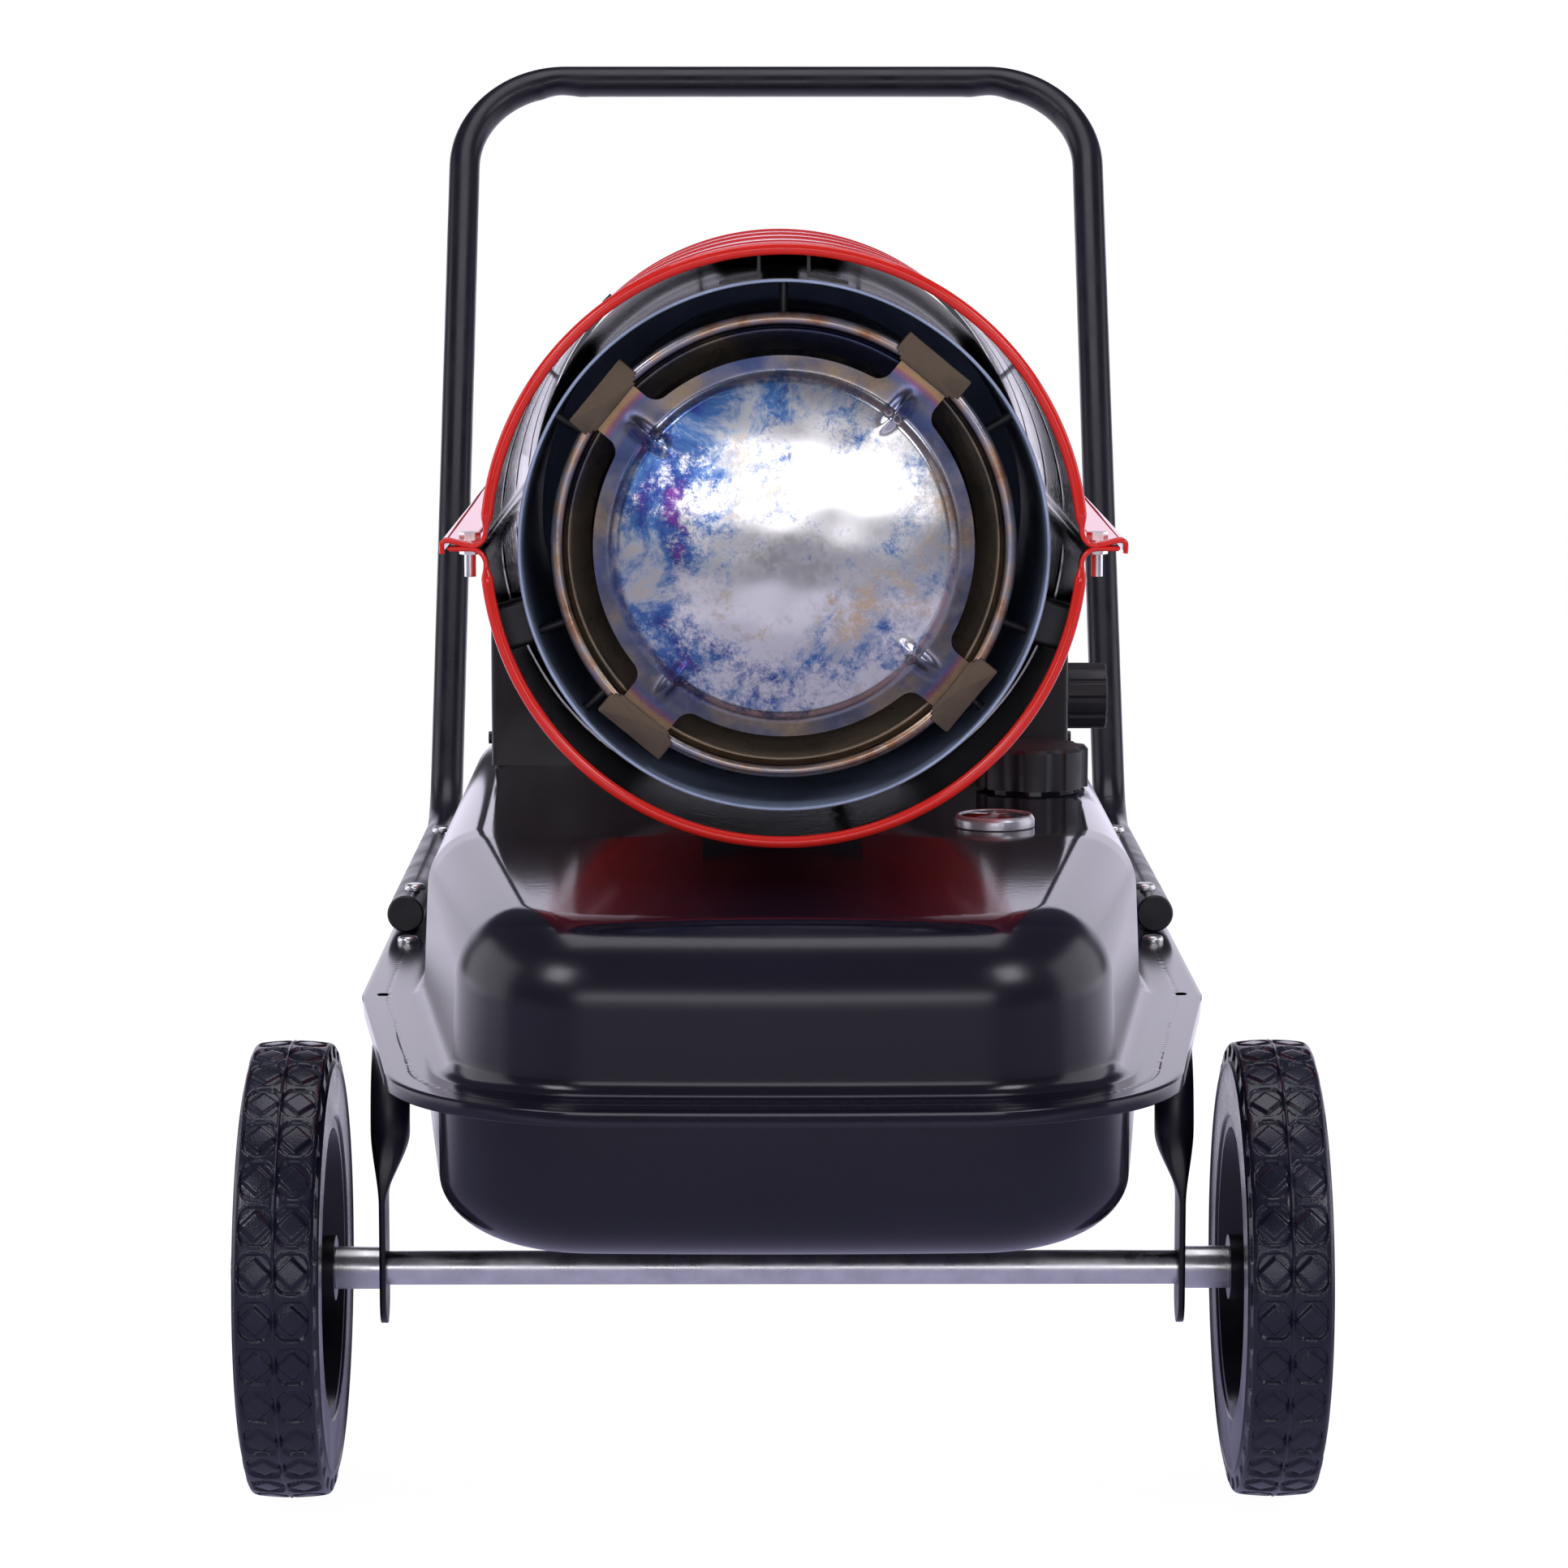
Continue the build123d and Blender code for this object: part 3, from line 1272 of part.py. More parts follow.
with BuildPart() as handle_caps:
    for side in (-1, 1):
        with BuildSketch(facing(handle_front_back, handle_rail_height, side * handle_half_width)):
            Circle(tube_radius)
        extrude(amount=3)
        with BuildSketch(facing(handle_front_back, handle_rail_height, side * handle_half_width)):
            Circle(tube_radius - tube_wall - 0.1)
        extrude(amount=-handle_cap_length)
    chamfer(handle_caps.faces().group_by(Axis.Y)[0].edges(), 1.0)
save("handle_caps", handle_caps.part)

with BuildPart() as clamp_screws:
    nut_seat = frame_rail_height - tube_radius
    for places, head_seat in ((handle_screw_places, handle_rail_height + tube_radius),
                              (flange_screw_places, flange_height + tank_sheet)):
        for x, y, height in places:
            with BuildSketch(Plane(origin=(x, y, head_seat))):
                Circle(screw_head_radius)
            extrude(amount=screw_head_height)
            head_top = clamp_screws.edges(Select.LAST).group_by(Axis.Z)[-1]
            fillet(head_top, screw_dome_radius)
            with BuildSketch(Plane(origin=(x, y, head_seat))):
                Circle(screw_radius)
            extrude(amount=nut_seat - nut_height - 3 - head_seat)
            with BuildSketch(Plane(origin=(x, y, nut_seat))):
                RegularPolygon(nut_radius, 6)
            extrude(amount=-nut_height)
save("clamp_screws", clamp_screws.part)
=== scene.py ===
# %% [markdown]
# # A forced air heater on two wheels
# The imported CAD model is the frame: every piece keeps the place and the size that the CAD gave it.
# This lesson dresses that frame. Big smooth forms are worked out again as numpy surfaces, so that
# gloss paint and polished steel reflect without facets, and every finish is made of shader nodes.

# %% Load the frame
import bpy
import math
import numpy as np
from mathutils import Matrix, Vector


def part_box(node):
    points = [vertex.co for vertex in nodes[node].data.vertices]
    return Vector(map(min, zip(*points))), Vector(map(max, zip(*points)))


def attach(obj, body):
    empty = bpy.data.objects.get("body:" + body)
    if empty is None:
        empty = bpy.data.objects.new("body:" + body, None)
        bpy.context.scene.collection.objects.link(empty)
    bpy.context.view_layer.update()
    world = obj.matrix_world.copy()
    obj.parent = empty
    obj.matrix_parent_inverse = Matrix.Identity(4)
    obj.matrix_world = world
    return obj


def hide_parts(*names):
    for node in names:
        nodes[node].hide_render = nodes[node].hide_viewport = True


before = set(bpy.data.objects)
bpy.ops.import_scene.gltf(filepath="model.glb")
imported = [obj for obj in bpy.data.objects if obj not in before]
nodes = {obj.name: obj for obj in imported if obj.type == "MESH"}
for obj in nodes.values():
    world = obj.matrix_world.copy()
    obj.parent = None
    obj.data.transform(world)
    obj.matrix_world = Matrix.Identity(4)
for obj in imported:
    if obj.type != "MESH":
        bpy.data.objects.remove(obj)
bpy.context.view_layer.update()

# %% [markdown]
# Distances along the heater are easiest to think of as "behind the axle", as on the drawing.
# The axle's own box says where that is, and the other landmarks are read from their nodes.

# %% Landmarks
axle_low, axle_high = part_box("axle")
axle_y = (axle_low.y + axle_high.y) / 2
axle_z = (axle_low.z + axle_high.z) / 2
nozzle_z = 0.544


def behind(distance):
    """Y of a point this many metres behind the axle."""
    return axle_y + distance


print("axle y %.4f z %.4f" % (axle_y, axle_z))

# %% [markdown]
# ## Helpers for surfaces
# A surface is a grid of points: rows along one parameter, columns along the other. One function
# joins neighbours into quads, a second gathers several grids into one mesh, and all of it is
# whole-array arithmetic, so a dense tyre costs no more code than a plain disc.

# %% Grids to meshes


def unit(vectors):
    """Vectors of length 1, along the last axis."""
    return vectors / np.linalg.norm(vectors, axis=-1, keepdims=True)


def grid_faces(rows, columns, close_rows=False, close_columns=False):
    """Quads (i,j) (i,j+1) (i+1,j+1) (i+1,j) over a grid, wrapping round where it is closed."""
    i = np.arange(rows if close_rows else rows - 1)
    j = np.arange(columns if close_columns else columns - 1)
    i, j = np.meshgrid(i, j, indexing="ij")
    i2, j2 = (i + 1) % rows, (j + 1) % columns
    corners = [i * columns + j, i * columns + j2, i2 * columns + j2, i2 * columns + j]
    return np.stack(corners, -1).reshape(-1, 4)


def sheet(points, close_rows=False, close_columns=False, caps=False):
    """A grid of points (rows, columns, 3) as (vertices, quads, triangles).
    caps closes the first and last row with a fan of triangles to their mean point."""
    points = np.asarray(points, float)
    rows, columns = points.shape[:2]
    quads = grid_faces(rows, columns, close_rows, close_columns)
    vertices = points.reshape(-1, 3)
    triangles = np.zeros((0, 3), int)
    if caps:
        count = len(vertices)
        j = np.arange(columns)
        j2 = (j + 1) % columns
        first = np.stack([np.full(columns, count), j2, j], -1)
        base = (rows - 1) * columns
        last = np.stack([np.full(columns, count + 1), base + j, base + j2], -1)
        vertices = np.vstack([vertices, points[0].mean(0), points[-1].mean(0)])
        triangles = np.vstack([first, last])
    return vertices, quads, triangles


def volume_of(vertices, triangles):
    """Signed volume: a sixth of the sum of a . (b x c) over the triangles."""
    a, b, c = (vertices[triangles[:, k]] for k in range(3))
    return float(np.einsum("ij,ij->i", a, np.cross(b, c)).sum() / 6)


def make_piece(name, sheets, body="chassis", closed=True, sharp=35.0):
    """Several sheets as one mesh object at the origin. A closed piece that comes out with a
    negative volume is turned round, so that its faces point outwards."""
    vertices, quads, triangles, start = [], [], [], 0
    for v, q, t in sheets:
        halves = np.vstack([q[:, [0, 1, 2]], q[:, [0, 2, 3]], t])
        if closed and volume_of(v - v.mean(0), halves) < 0:
            q, t = q[:, ::-1], t[:, ::-1]
        vertices.append(v)
        quads.append(q + start)
        triangles.append(t + start)
        start += len(v)
    vertices, quads, triangles = (np.vstack(parts) for parts in (vertices, quads, triangles))
    mesh = bpy.data.meshes.new(name)
    mesh.from_pydata(vertices.tolist(), [], quads.tolist() + triangles.tolist())
    mesh.shade_smooth()
    mesh.validate()
    mesh.set_sharp_from_angle(angle=math.radians(sharp))
    piece = bpy.data.objects.new(name, mesh)
    bpy.context.scene.collection.objects.link(piece)
    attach(piece, body)
    print(name, len(quads) * 2 + len(triangles), "triangles")
    return piece


# %% [markdown]
# Two ways of carrying a profile make most of this heater: turning it about an axis, for drums
# and tyres, and sweeping a circle along a bent path, for tubes and the shell's lip.

# %% Turning and sweeping


def smooth(value, low, high):
    """0 below low, 1 above high, and a smooth ramp between them."""
    t = np.clip((value - low) / (high - low), 0, 1)
    return t * t * (3 - 2 * t)


def turned(profile, centre, axis, count, wave=None):
    """Points centre + a*axis + r*(cos t*u + sin t*v) for each profile point (a, r) and angle t.
    wave(a, r, t) may return a changed (a, r), for the tread and for dents."""
    profile = np.asarray(profile, float)
    axis = np.asarray(axis, float)
    u = np.array([1.0, 0, 0]) if abs(axis[0]) < 0.5 else np.array([0, 1.0, 0])
    v = np.cross(axis, u)
    t = np.arange(count) * 2 * np.pi / count
    a, r, t = np.broadcast_arrays(profile[:, :1], profile[:, 1:], t)
    if wave is not None:
        a, r = wave(a, r, t)
    return (np.asarray(centre, float) + a[..., None] * axis
            + (r * np.cos(t))[..., None] * u + (r * np.sin(t))[..., None] * v)


def arc_between(centre, radius, start, end, count):
    """(x, y) points on a circle from angle start to angle end, in degrees."""
    t = np.radians(np.linspace(start, end, count))
    return np.stack([centre[0] + radius * np.cos(t), centre[1] + radius * np.sin(t)], -1)


def round_corners(points, radii, step=0.004):
    """A polyline in space with each inner corner replaced by an arc that touches both its runs.
    For a corner C with unit directions p and q out of it, the arc's centre is C + (p+q)*k, with
    k = r / (|p+q| * sin(half the angle between the runs))."""
    points = [np.asarray(p, float) for p in points]
    path = [points[0][None]]
    for before, corner, after, radius in zip(points, points[1:], points[2:], radii):
        p, q = unit(before - corner), unit(after - corner)
        half = math.acos(float(np.clip(p @ q, -1, 1))) / 2
        reach = radius / math.tan(half)
        middle = corner + unit(p + q) * radius / math.sin(half)
        first = corner + p * reach - middle
        turn = math.pi - 2 * half
        t = np.linspace(0, turn, max(6, int(turn * radius / step)))[:, None]
        path.append(middle + first * np.cos(t) - p * radius * np.sin(t))
    path.append(points[-1][None])
    return np.vstack(path)


def along(path, step):
    """The path again with points about step apart on its straight runs too."""
    gaps = np.linalg.norm(np.diff(path, axis=0), axis=1)
    position = np.concatenate([[0], np.cumsum(gaps)])
    wanted = np.unique(np.concatenate([position, np.arange(0, position[-1], step)]))
    return np.stack([np.interp(wanted, position, path[:, k]) for k in range(3)], -1)


def swept(path, radius, sides, reference):
    """A tube: at each path point the ring P + r*(cos a*e1 + sin a*e2), with e1 = t x reference
    made unit and e2 = t x e1. radius is a number or a function of the path and the normals."""
    tangent = unit(np.gradient(path, axis=0))
    e1 = unit(np.cross(tangent, np.asarray(reference, float)))
    e2 = np.cross(tangent, e1)
    a = np.arange(sides) * 2 * np.pi / sides
    out = np.cos(a)[None, :, None] * e1[:, None] + np.sin(a)[None, :, None] * e2[:, None]
    r = radius(path, out)[..., None] if callable(radius) else radius
    return sheet(path[:, None] + r * out, close_columns=True, caps=True)


# %% [markdown]
# ## Helpers for finishes
# Paint, plating and rubber are one recipe with different numbers: a base colour that drifts a
# little, a roughness that drifts with it, and a fine bump. Numbers that hold all over a surface
# sit on the shader's own sockets, where an export keeps them.

# %% One recipe for most finishes
made = {}


def add(tree, kind, inputs=(), **settings):
    """A node with its properties set. inputs maps its sockets to numbers or to other sockets."""
    node = tree.nodes.new(kind)
    for name, value in settings.items():
        setattr(node, name, value)
    feed(node, inputs)
    return node


def feed(node, inputs):
    """Sets each named input of a node to a value, or links it to the socket given for it."""
    for name, value in dict(inputs).items():
        if isinstance(value, bpy.types.NodeSocket):
            node.id_data.links.new(value, node.inputs[name])
        else:
            node.inputs[name].default_value = value


def new_material(name, **inputs):
    """A node material with its output and a Principled shader, listed in made under its name."""
    material = bpy.data.materials.new(name)
    material.use_nodes = True
    tree = material.node_tree
    tree.nodes.clear()
    inputs = {key.replace("_", " "): value for key, value in inputs.items()}
    shader = add(tree, "ShaderNodeBsdfPrincipled", inputs)
    add(tree, "ShaderNodeOutputMaterial", {"Surface": shader.outputs["BSDF"]})
    made[name] = material
    return tree, shader


def place_in(tree):
    """The shaded point's X, Y and Z as sockets, from Object coordinates."""
    coords = add(tree, "ShaderNodeTexCoord")
    return add(tree, "ShaderNodeSeparateXYZ", {0: coords.outputs["Object"]}).outputs


def noise(tree, scale, detail=3.0, rough=0.55, stretch=(1, 1, 1), distortion=0.0):
    """Noise on Object coordinates, stretched per axis, as a socket of about 0.3 to 0.7."""
    coords = add(tree, "ShaderNodeTexCoord")
    mapping = add(tree, "ShaderNodeMapping", {"Vector": coords.outputs["Object"], "Scale": stretch})
    return add(tree, "ShaderNodeTexNoise", {
        "Vector": mapping.outputs["Vector"], "Scale": scale, "Detail": detail, "Roughness": rough,
        "Distortion": distortion}).outputs["Fac"]


def ramp(factor, stops):
    """A colour ramp through (position, (r, g, b)) stops."""
    node = add(factor.id_data, "ShaderNodeValToRGB", {"Fac": factor})
    elements = node.color_ramp.elements
    while len(elements) < len(stops):
        elements.new(0.5)
    for element, (position, colour) in zip(elements, stops):
        element.position = position
        element.color = (*colour, 1.0)
    return node.outputs["Color"]


def between(value, low, high, to_low=0.0, to_high=1.0):
    """Maps low..high of a value onto to_low..to_high, held at the ends."""
    node = add(value.id_data, "ShaderNodeMapRange", {
        "Value": value, "From Min": low, "From Max": high, "To Min": to_low, "To Max": to_high})
    return node.outputs["Result"]


def blend(factor, *colours):
    """Mixes two colour sockets or triples by a factor socket."""
    first, second = [(*c, 1) if isinstance(c, tuple) else c for c in colours]
    inputs = {"Factor": factor, "A": first, "B": second}
    return add(factor.id_data, "ShaderNodeMix", inputs, data_type="RGBA").outputs["Result"]


def sum_of(first, second, weight):
    """first + weight * second."""
    inputs = {0: second, 1: weight, 2: first}
    return add(first.id_data, "ShaderNodeMath", inputs, operation="MULTIPLY_ADD").outputs[0]


def bump(shader, height, strength, distance):
    """Adds a bump of this height socket to the shader's normal, on top of any before it."""
    inputs = {"Strength": strength, "Distance": distance, "Height": height}
    node = add(shader.id_data, "ShaderNodeBump", inputs)
    before = shader.inputs["Normal"].links
    if before:
        feed(node, {"Normal": before[0].from_socket})
    feed(shader, {"Normal": node.outputs["Normal"]})


def finish(name, wearers, colour, roughness, drift, patch, grain, relief, depth=0.0002, metallic=0.0,
           coat=0.0, stretch=(1, 1, 1)):
    """One finish, put on its wearers: colour drifts by +-drift over patches, roughness with it,
    under a fine grain."""
    tree, shader = new_material(name, Metallic=metallic, Coat_Weight=coat, Coat_Roughness=0.04)
    patches = noise(tree, patch, 4.0)
    dark = tuple(c * (1 - drift) for c in colour)
    light = tuple(min(1.0, c * (1 + drift)) for c in colour)
    feed(shader, {
        "Base Color": ramp(patches, [(0.3, dark), (0.7, light)]),
        "Roughness": between(patches, 0.3, 0.7, roughness * 0.75, roughness * 1.25)})
    bump(shader, noise(tree, grain, 2.0, stretch=stretch), relief, depth)
    for wearer in wearers.split():
        dress(nodes[wearer], name)


def dress(piece, *names):
    """Puts the materials of these names in the piece's slots, in order."""
    piece.data.materials.clear()
    for name in names:
        piece.data.materials.append(made[name])


# %% [markdown]
# CAD nodes that stay keep their meshes. They arrive as loose flat triangles, so a small node
# group merges their corners and shades them smooth except over sharp edges, and Weighted Normal
# keeps their flat faces flat. Both are modifiers, which leave the mesh itself alone.

# %% Smooth shading for the CAD nodes that stay
soft_angle = math.radians(32)
soften = bpy.data.node_groups.new("soften", "GeometryNodeTree")
for direction in ("INPUT", "OUTPUT"):
    soften.interface.new_socket("Geometry", in_out=direction, socket_type="NodeSocketGeometry")
arriving = add(soften, "NodeGroupInput")
merged = add(soften, "GeometryNodeMergeByDistance", {
    "Geometry": arriving.outputs[0], "Distance": 0.00002})
edge_angle = add(soften, "GeometryNodeInputMeshEdgeAngle")
is_soft = add(soften, "FunctionNodeCompare", data_type="FLOAT", operation="LESS_EQUAL", inputs={
    "A": edge_angle.outputs["Unsigned Angle"], "B": soft_angle})
smooth_edges = add(soften, "GeometryNodeSetShadeSmooth", {
    "Geometry": merged.outputs["Geometry"], "Shade Smooth": is_soft.outputs["Result"]}, domain="EDGE")
smooth_faces = add(soften, "GeometryNodeSetShadeSmooth", {"Geometry": smooth_edges.outputs[0]})
add(soften, "NodeGroupOutput", {"Geometry": smooth_faces.outputs[0]})

edge_rounding = {
    "fuel_cap": 0.0018, "thermostat_knob": 0.0012, "shell_bolts": 0.0004, "control_box": 0.0009,
    "box_base": 0.0009, "cord_gland": 0.0008, "handle_caps": 0.0006, "gauge_bezel": 0.0006,
    "rocker_switch": 0.0006, "switch_frame": 0.0005}
for name, node in nodes.items():
    node.modifiers.new("soften", "NODES").node_group = soften
    if name in edge_rounding:
        rounding = node.modifiers.new("rounding", "BEVEL")
        rounding.width, rounding.segments = edge_rounding[name], 3
        rounding.limit_method, rounding.angle_limit = "ANGLE", soft_angle
    node.modifiers.new("weighted", "WEIGHTED_NORMAL").keep_sharp = True
print("smoothed", len(nodes), "nodes")

# %% [markdown]
# ## Camera and light
# The photograph was taken from nearly three metres in front of the axle, a little above the
# shell, with a long lens. Its vanishing lines give the height, the tilt and the focal length.

# %% Camera
camera_data = bpy.data.cameras.new("camera")
camera_data.sensor_width = 36.0
camera_data.lens = 111.8
camera = bpy.data.objects.new("camera", camera_data)
camera.location = (-0.013, behind(-2.661), 0.749)
camera.rotation_euler = (math.radians(90 - 7.49), 0, math.radians(-0.3))
bpy.context.scene.collection.objects.link(camera)
bpy.context.scene.camera = camera

# %% [markdown]
# Gloss black shows the studio more than itself, so the lamps matter as shapes: two softboxes in
# front give the bright patches on the tank's shoulders, a wide band between them lights the
# nozzle, one hangs overhead, and one at each side makes the pale streaks along the tank. The
# world is white for the camera, while the light it casts is weak and slightly violet.

# %% Lamps


def softbox(name, place, target, size, power):
    """A rectangular, slightly violet lamp at place, looking at target."""
    lamp = bpy.data.lights.new(name, "AREA")
    lamp.shape = "RECTANGLE"
    lamp.size, lamp.size_y = size
    lamp.energy = power
    lamp.color = (0.93, 0.92, 1.0)
    holder = bpy.data.objects.new(name, lamp)
    holder.location = place
    holder.rotation_euler = (Vector(target) - Vector(place)).to_track_quat("-Z", "Y").to_euler()
    bpy.context.scene.collection.objects.link(holder)


for side, hand in ((-1, "left"), (1, "right")):
    softbox("front_" + hand, (side * 1.5, -2.0, 1.9), (0, -0.3, 0.35), (0.7, 0.8), 11)
    softbox("side_" + hand, (side * 2.2, 0.2, 0.9), (0, 0, 0.5), (2.2, 1.6), 13)
softbox("front_band", (0, -3.5, 0.905), (0, -0.5, 0.6), (2.8, 0.66), 15)
softbox("overhead", (0, 0.1, 2.4), (0, 0.1, 0.4), (1.6, 1.6), 16)

world = bpy.data.worlds.new("studio")
world.use_nodes = True
bpy.context.scene.world = world
tree = world.node_tree
tree.nodes.clear()
dim = add(tree, "ShaderNodeBackground", {"Color": (0.80, 0.78, 1.0, 1), "Strength": 0.14})
white = add(tree, "ShaderNodeBackground", {"Color": (1, 1, 1, 1), "Strength": 1.0})
ray = add(tree, "ShaderNodeLightPath")
mix = add(tree, "ShaderNodeMixShader", {
    "Fac": ray.outputs["Is Camera Ray"], 1: dim.outputs[0], 2: white.outputs[0]})
add(tree, "ShaderNodeOutputWorld", {"Surface": mix.outputs[0]})

# %% [markdown]
# The floor and the backdrop are one white sheet that curves up 8 m behind the heater, so that a
# camera behind the heater still stands in front of it. Rays from the camera see it partly as its
# own pale paint, which carries the shadow, and partly as plain white. Reflections see a floor
# that is grey round the heater and pale behind it, and a backdrop that darkens 3 m up.

# %% Floor and backdrop
floor_front, bend = -3.1, 0.8
rise = arc_between((8.0 - bend, bend), bend, -90, 0, 16)
sweep_line = np.vstack([[(floor_front, 0.0), (-1.5, 0.0), (0.0, 0.0)], rise, [(8.0, 10.0)]])
width = np.linspace(-6.0, 6.0, 5)
points = np.stack(np.broadcast_arrays(width, sweep_line[:, :1], sweep_line[:, 1:]), -1)
backdrop = make_piece("backdrop", [sheet(points)], closed=False)
backdrop.parent = None
tree, shader = new_material("paper", Base_Color=(0.92, 0.92, 0.92, 1), Roughness=0.9)
ray = add(tree, "ShaderNodeLightPath")
place = place_in(tree)
grey = (0.24, 0.23, 0.35)
floor_tone = ramp(between(place["Y"], floor_front, 3.4),
                  [(0.10, (0.60, 0.58, 0.76)), (0.19, grey), (0.47, grey), (0.62, (0.88, 0.84, 1.0))])
seen_tone = blend(between(place["Z"], 2.81, 3.29), floor_tone, (0.05, 0.05, 0.07))
surface = shader.outputs[0]
for kind, share, colour, strength in (("Is Camera Ray", 0.80, (1, 1, 1, 1), 1.22),
                                      ("Is Glossy Ray", 1.0, seen_tone, 1.35)):
    glow = add(tree, "ShaderNodeEmission", {"Color": colour, "Strength": strength})
    part = add(tree, "ShaderNodeMath", {0: ray.outputs[kind], 1: share}, operation="MULTIPLY")
    mix = add(tree, "ShaderNodeMixShader", {"Fac": part.outputs[0], 1: surface, 2: glow.outputs[0]})
    surface = mix.outputs[0]
output = next(n for n in tree.nodes if n.type == "OUTPUT_MATERIAL")
feed(output, {"Surface": surface})
dress(backdrop, "paper")
bpy.context.scene.view_settings.view_transform = "Standard"

# %% [markdown]
# ## Finishes
# The real heater has few: gloss black tank paint, satin black tube and box paint, gloss red shell
# paint with a black inside, blue-grey galvanised sheet, heat-tinted steel, zinc plate, hard
# rubber and moulded plastic. Each takes its numbers from the photograph. Every CAD node gets a
# finish, so that a piece which is never replaced still looks right. After the colour stand the
# roughness, drift, patches and grains per metre, relief and, where it isn't 0.2 mm, its depth.

# %% Paints, plating, rubber and plastic
finish("tank_black", "tank_upper tank_lower filler_neck",
       (0.0095, 0.0085, 0.018), 0.13, 0.2, 6, 220, 0.08, 0.0003)
finish("tube_black", "frame_tube handle_tube", (0.008, 0.0075, 0.015), 0.33, 0.15, 30, 900, 0.10)
finish("box_black", "control_box box_base shell_support box_screws guard_screws top_bracket "
       "side_brackets chamber_screws", (0.012, 0.012, 0.014), 0.42, 0.15, 25, 1200, 0.18, coat=0.1)
finish("shell_red", "upper_shell lower_shell", (0.92, 0.028, 0.018), 0.06, 0.04, 8, 60, 0.01)
finish("shell_inside", "", (0.008, 0.007, 0.009), 0.09, 0.2, 12, 180, 0.22, 0.0006)
finish("shield_blue", "heat_shield motor_bracket burner_tube flame_cone",
       (0.44, 0.54, 0.74), 0.40, 0.20, 22, 500, 0.08, metallic=0.15)
finish("shield_outside", "", (0.012, 0.012, 0.015), 0.16, 0.2, 12, 180, 0.15, 0.0006)
finish("bright_zinc", "axle axle_spacers axle_washers split_pins clamp_screws shell_bolts motor_shaft",
       (0.86, 0.86, 0.84), 0.30, 0.14, 60, 350, 0.10, metallic=1.0, stretch=(0.15, 1, 1))
finish("wire_plate", "fan_guard", (0.70, 0.70, 0.72), 0.22, 0.10, 50, 600, 0.06, metallic=1.0)
finish("tread_rubber", "tyre_left tyre_right", (0.014, 0.015, 0.031), 0.25, 0.3, 45, 900, 0.30, 0.0004)
finish("rim_plastic", "rim_left rim_right", (0.011, 0.011, 0.016), 0.33, 0.15, 40, 900, 0.12)
finish("moulded_black", "thermostat_knob switch_frame cord_gland handle_caps thermostat filler_strainer "
       "photocell", (0.020, 0.020, 0.024), 0.45, 0.12, 60, 1600, 0.35)
finish("cap_plastic", "fuel_cap", (0.022, 0.022, 0.027), 0.42, 0.15, 45, 1500, 0.3)
finish("rocker_gloss", "rocker_switch", (0.015, 0.015, 0.016), 0.18, 0.1, 60, 800, 0.05)
finish("mill_alloy", "fan",
       (0.72, 0.72, 0.73), 0.30, 0.08, 30, 700, 0.08, metallic=1.0, stretch=(1, 1, 0.2))
finish("cast_alloy", "pump_housing", (0.50, 0.50, 0.51), 0.50, 0.12, 50, 500, 0.4, 0.0005, metallic=0.9)
finish("motor_grey", "motor_body ignition_transformer",
       (0.045, 0.048, 0.055), 0.40, 0.15, 30, 420, 0.35, 0.0005, coat=0.3)
finish("turned_brass", "fuel_nozzle drain_plug",
       (0.72, 0.50, 0.20), 0.25, 0.12, 70, 600, 0.08, metallic=1.0)
finish("alloy_pipe", "fuel_line air_line", (0.62, 0.62, 0.60), 0.28, 0.12, 70, 500, 0.06, metallic=1.0)
finish("carbon_black", "pump_rotor", (0.05, 0.05, 0.05), 0.6, 0.2, 80, 900, 0.2)
finish("porcelain", "electrodes", (0.80, 0.78, 0.73), 0.18, 0.04, 40, 400, 0.04)
finish("board_green", "circuit_board", (0.02, 0.14, 0.05), 0.35, 0.2, 120, 700, 0.2)
finish("foam_tan", "float_arm", (0.42, 0.36, 0.26), 0.8, 0.2, 120, 1500, 0.6, 0.0005)
finish("needle_red", "gauge_needle", (0.75, 0.03, 0.02), 0.4, 0.05, 60, 500, 0.03)
finish("dial_white", "gauge_body", (0.62, 0.62, 0.64), 0.30, 0.05, 60, 500, 0.03)
finish("gauge_silver", "gauge_bezel", (0.66, 0.66, 0.70), 0.30, 0.05, 60, 500, 0.03, metallic=0.6)
finish("nitrile", "cap_seal air_filter", (0.025, 0.025, 0.025), 0.6, 0.2, 80, 900, 0.2)
finish("hook_steel", "", (0.155, 0.115, 0.078), 0.50, 0.25, 60, 420, 0.25, 0.0004, metallic=0.7)
finish("drum_scale", "", (0.012, 0.011, 0.013), 0.30, 0.2, 14, 220, 0.12, 0.0004)

tree, shader = new_material("lens_glass", Base_Color=(0.97, 0.98, 0.98, 1), Roughness=0.02,
                            Transmission_Weight=1.0, IOR=1.45)
bump(shader, noise(tree, 90, 2.0), 0.03, 0.0002)
dress(nodes["gauge_lens"], "lens_glass")

# %% [markdown]
# The tank's paint shines differently where it lies, stands and hangs, so its roughness goes by
# height: the lower half and the flange, then the upper walls, then the deck.

# %% The tank's gloss
tree = made["tank_black"].node_tree
height = place_in(tree)["Z"]
wall_rough = between(height, 0.278, 0.288, 0.15, 0.25)
deck_share = between(height, 0.349, 0.361)
rough = add(tree, "ShaderNodeMix", {"Factor": deck_share, "A": wall_rough, "B": 0.09})
feed(tree.nodes["Principled BSDF"], {"Roughness": rough.outputs["Result"]})

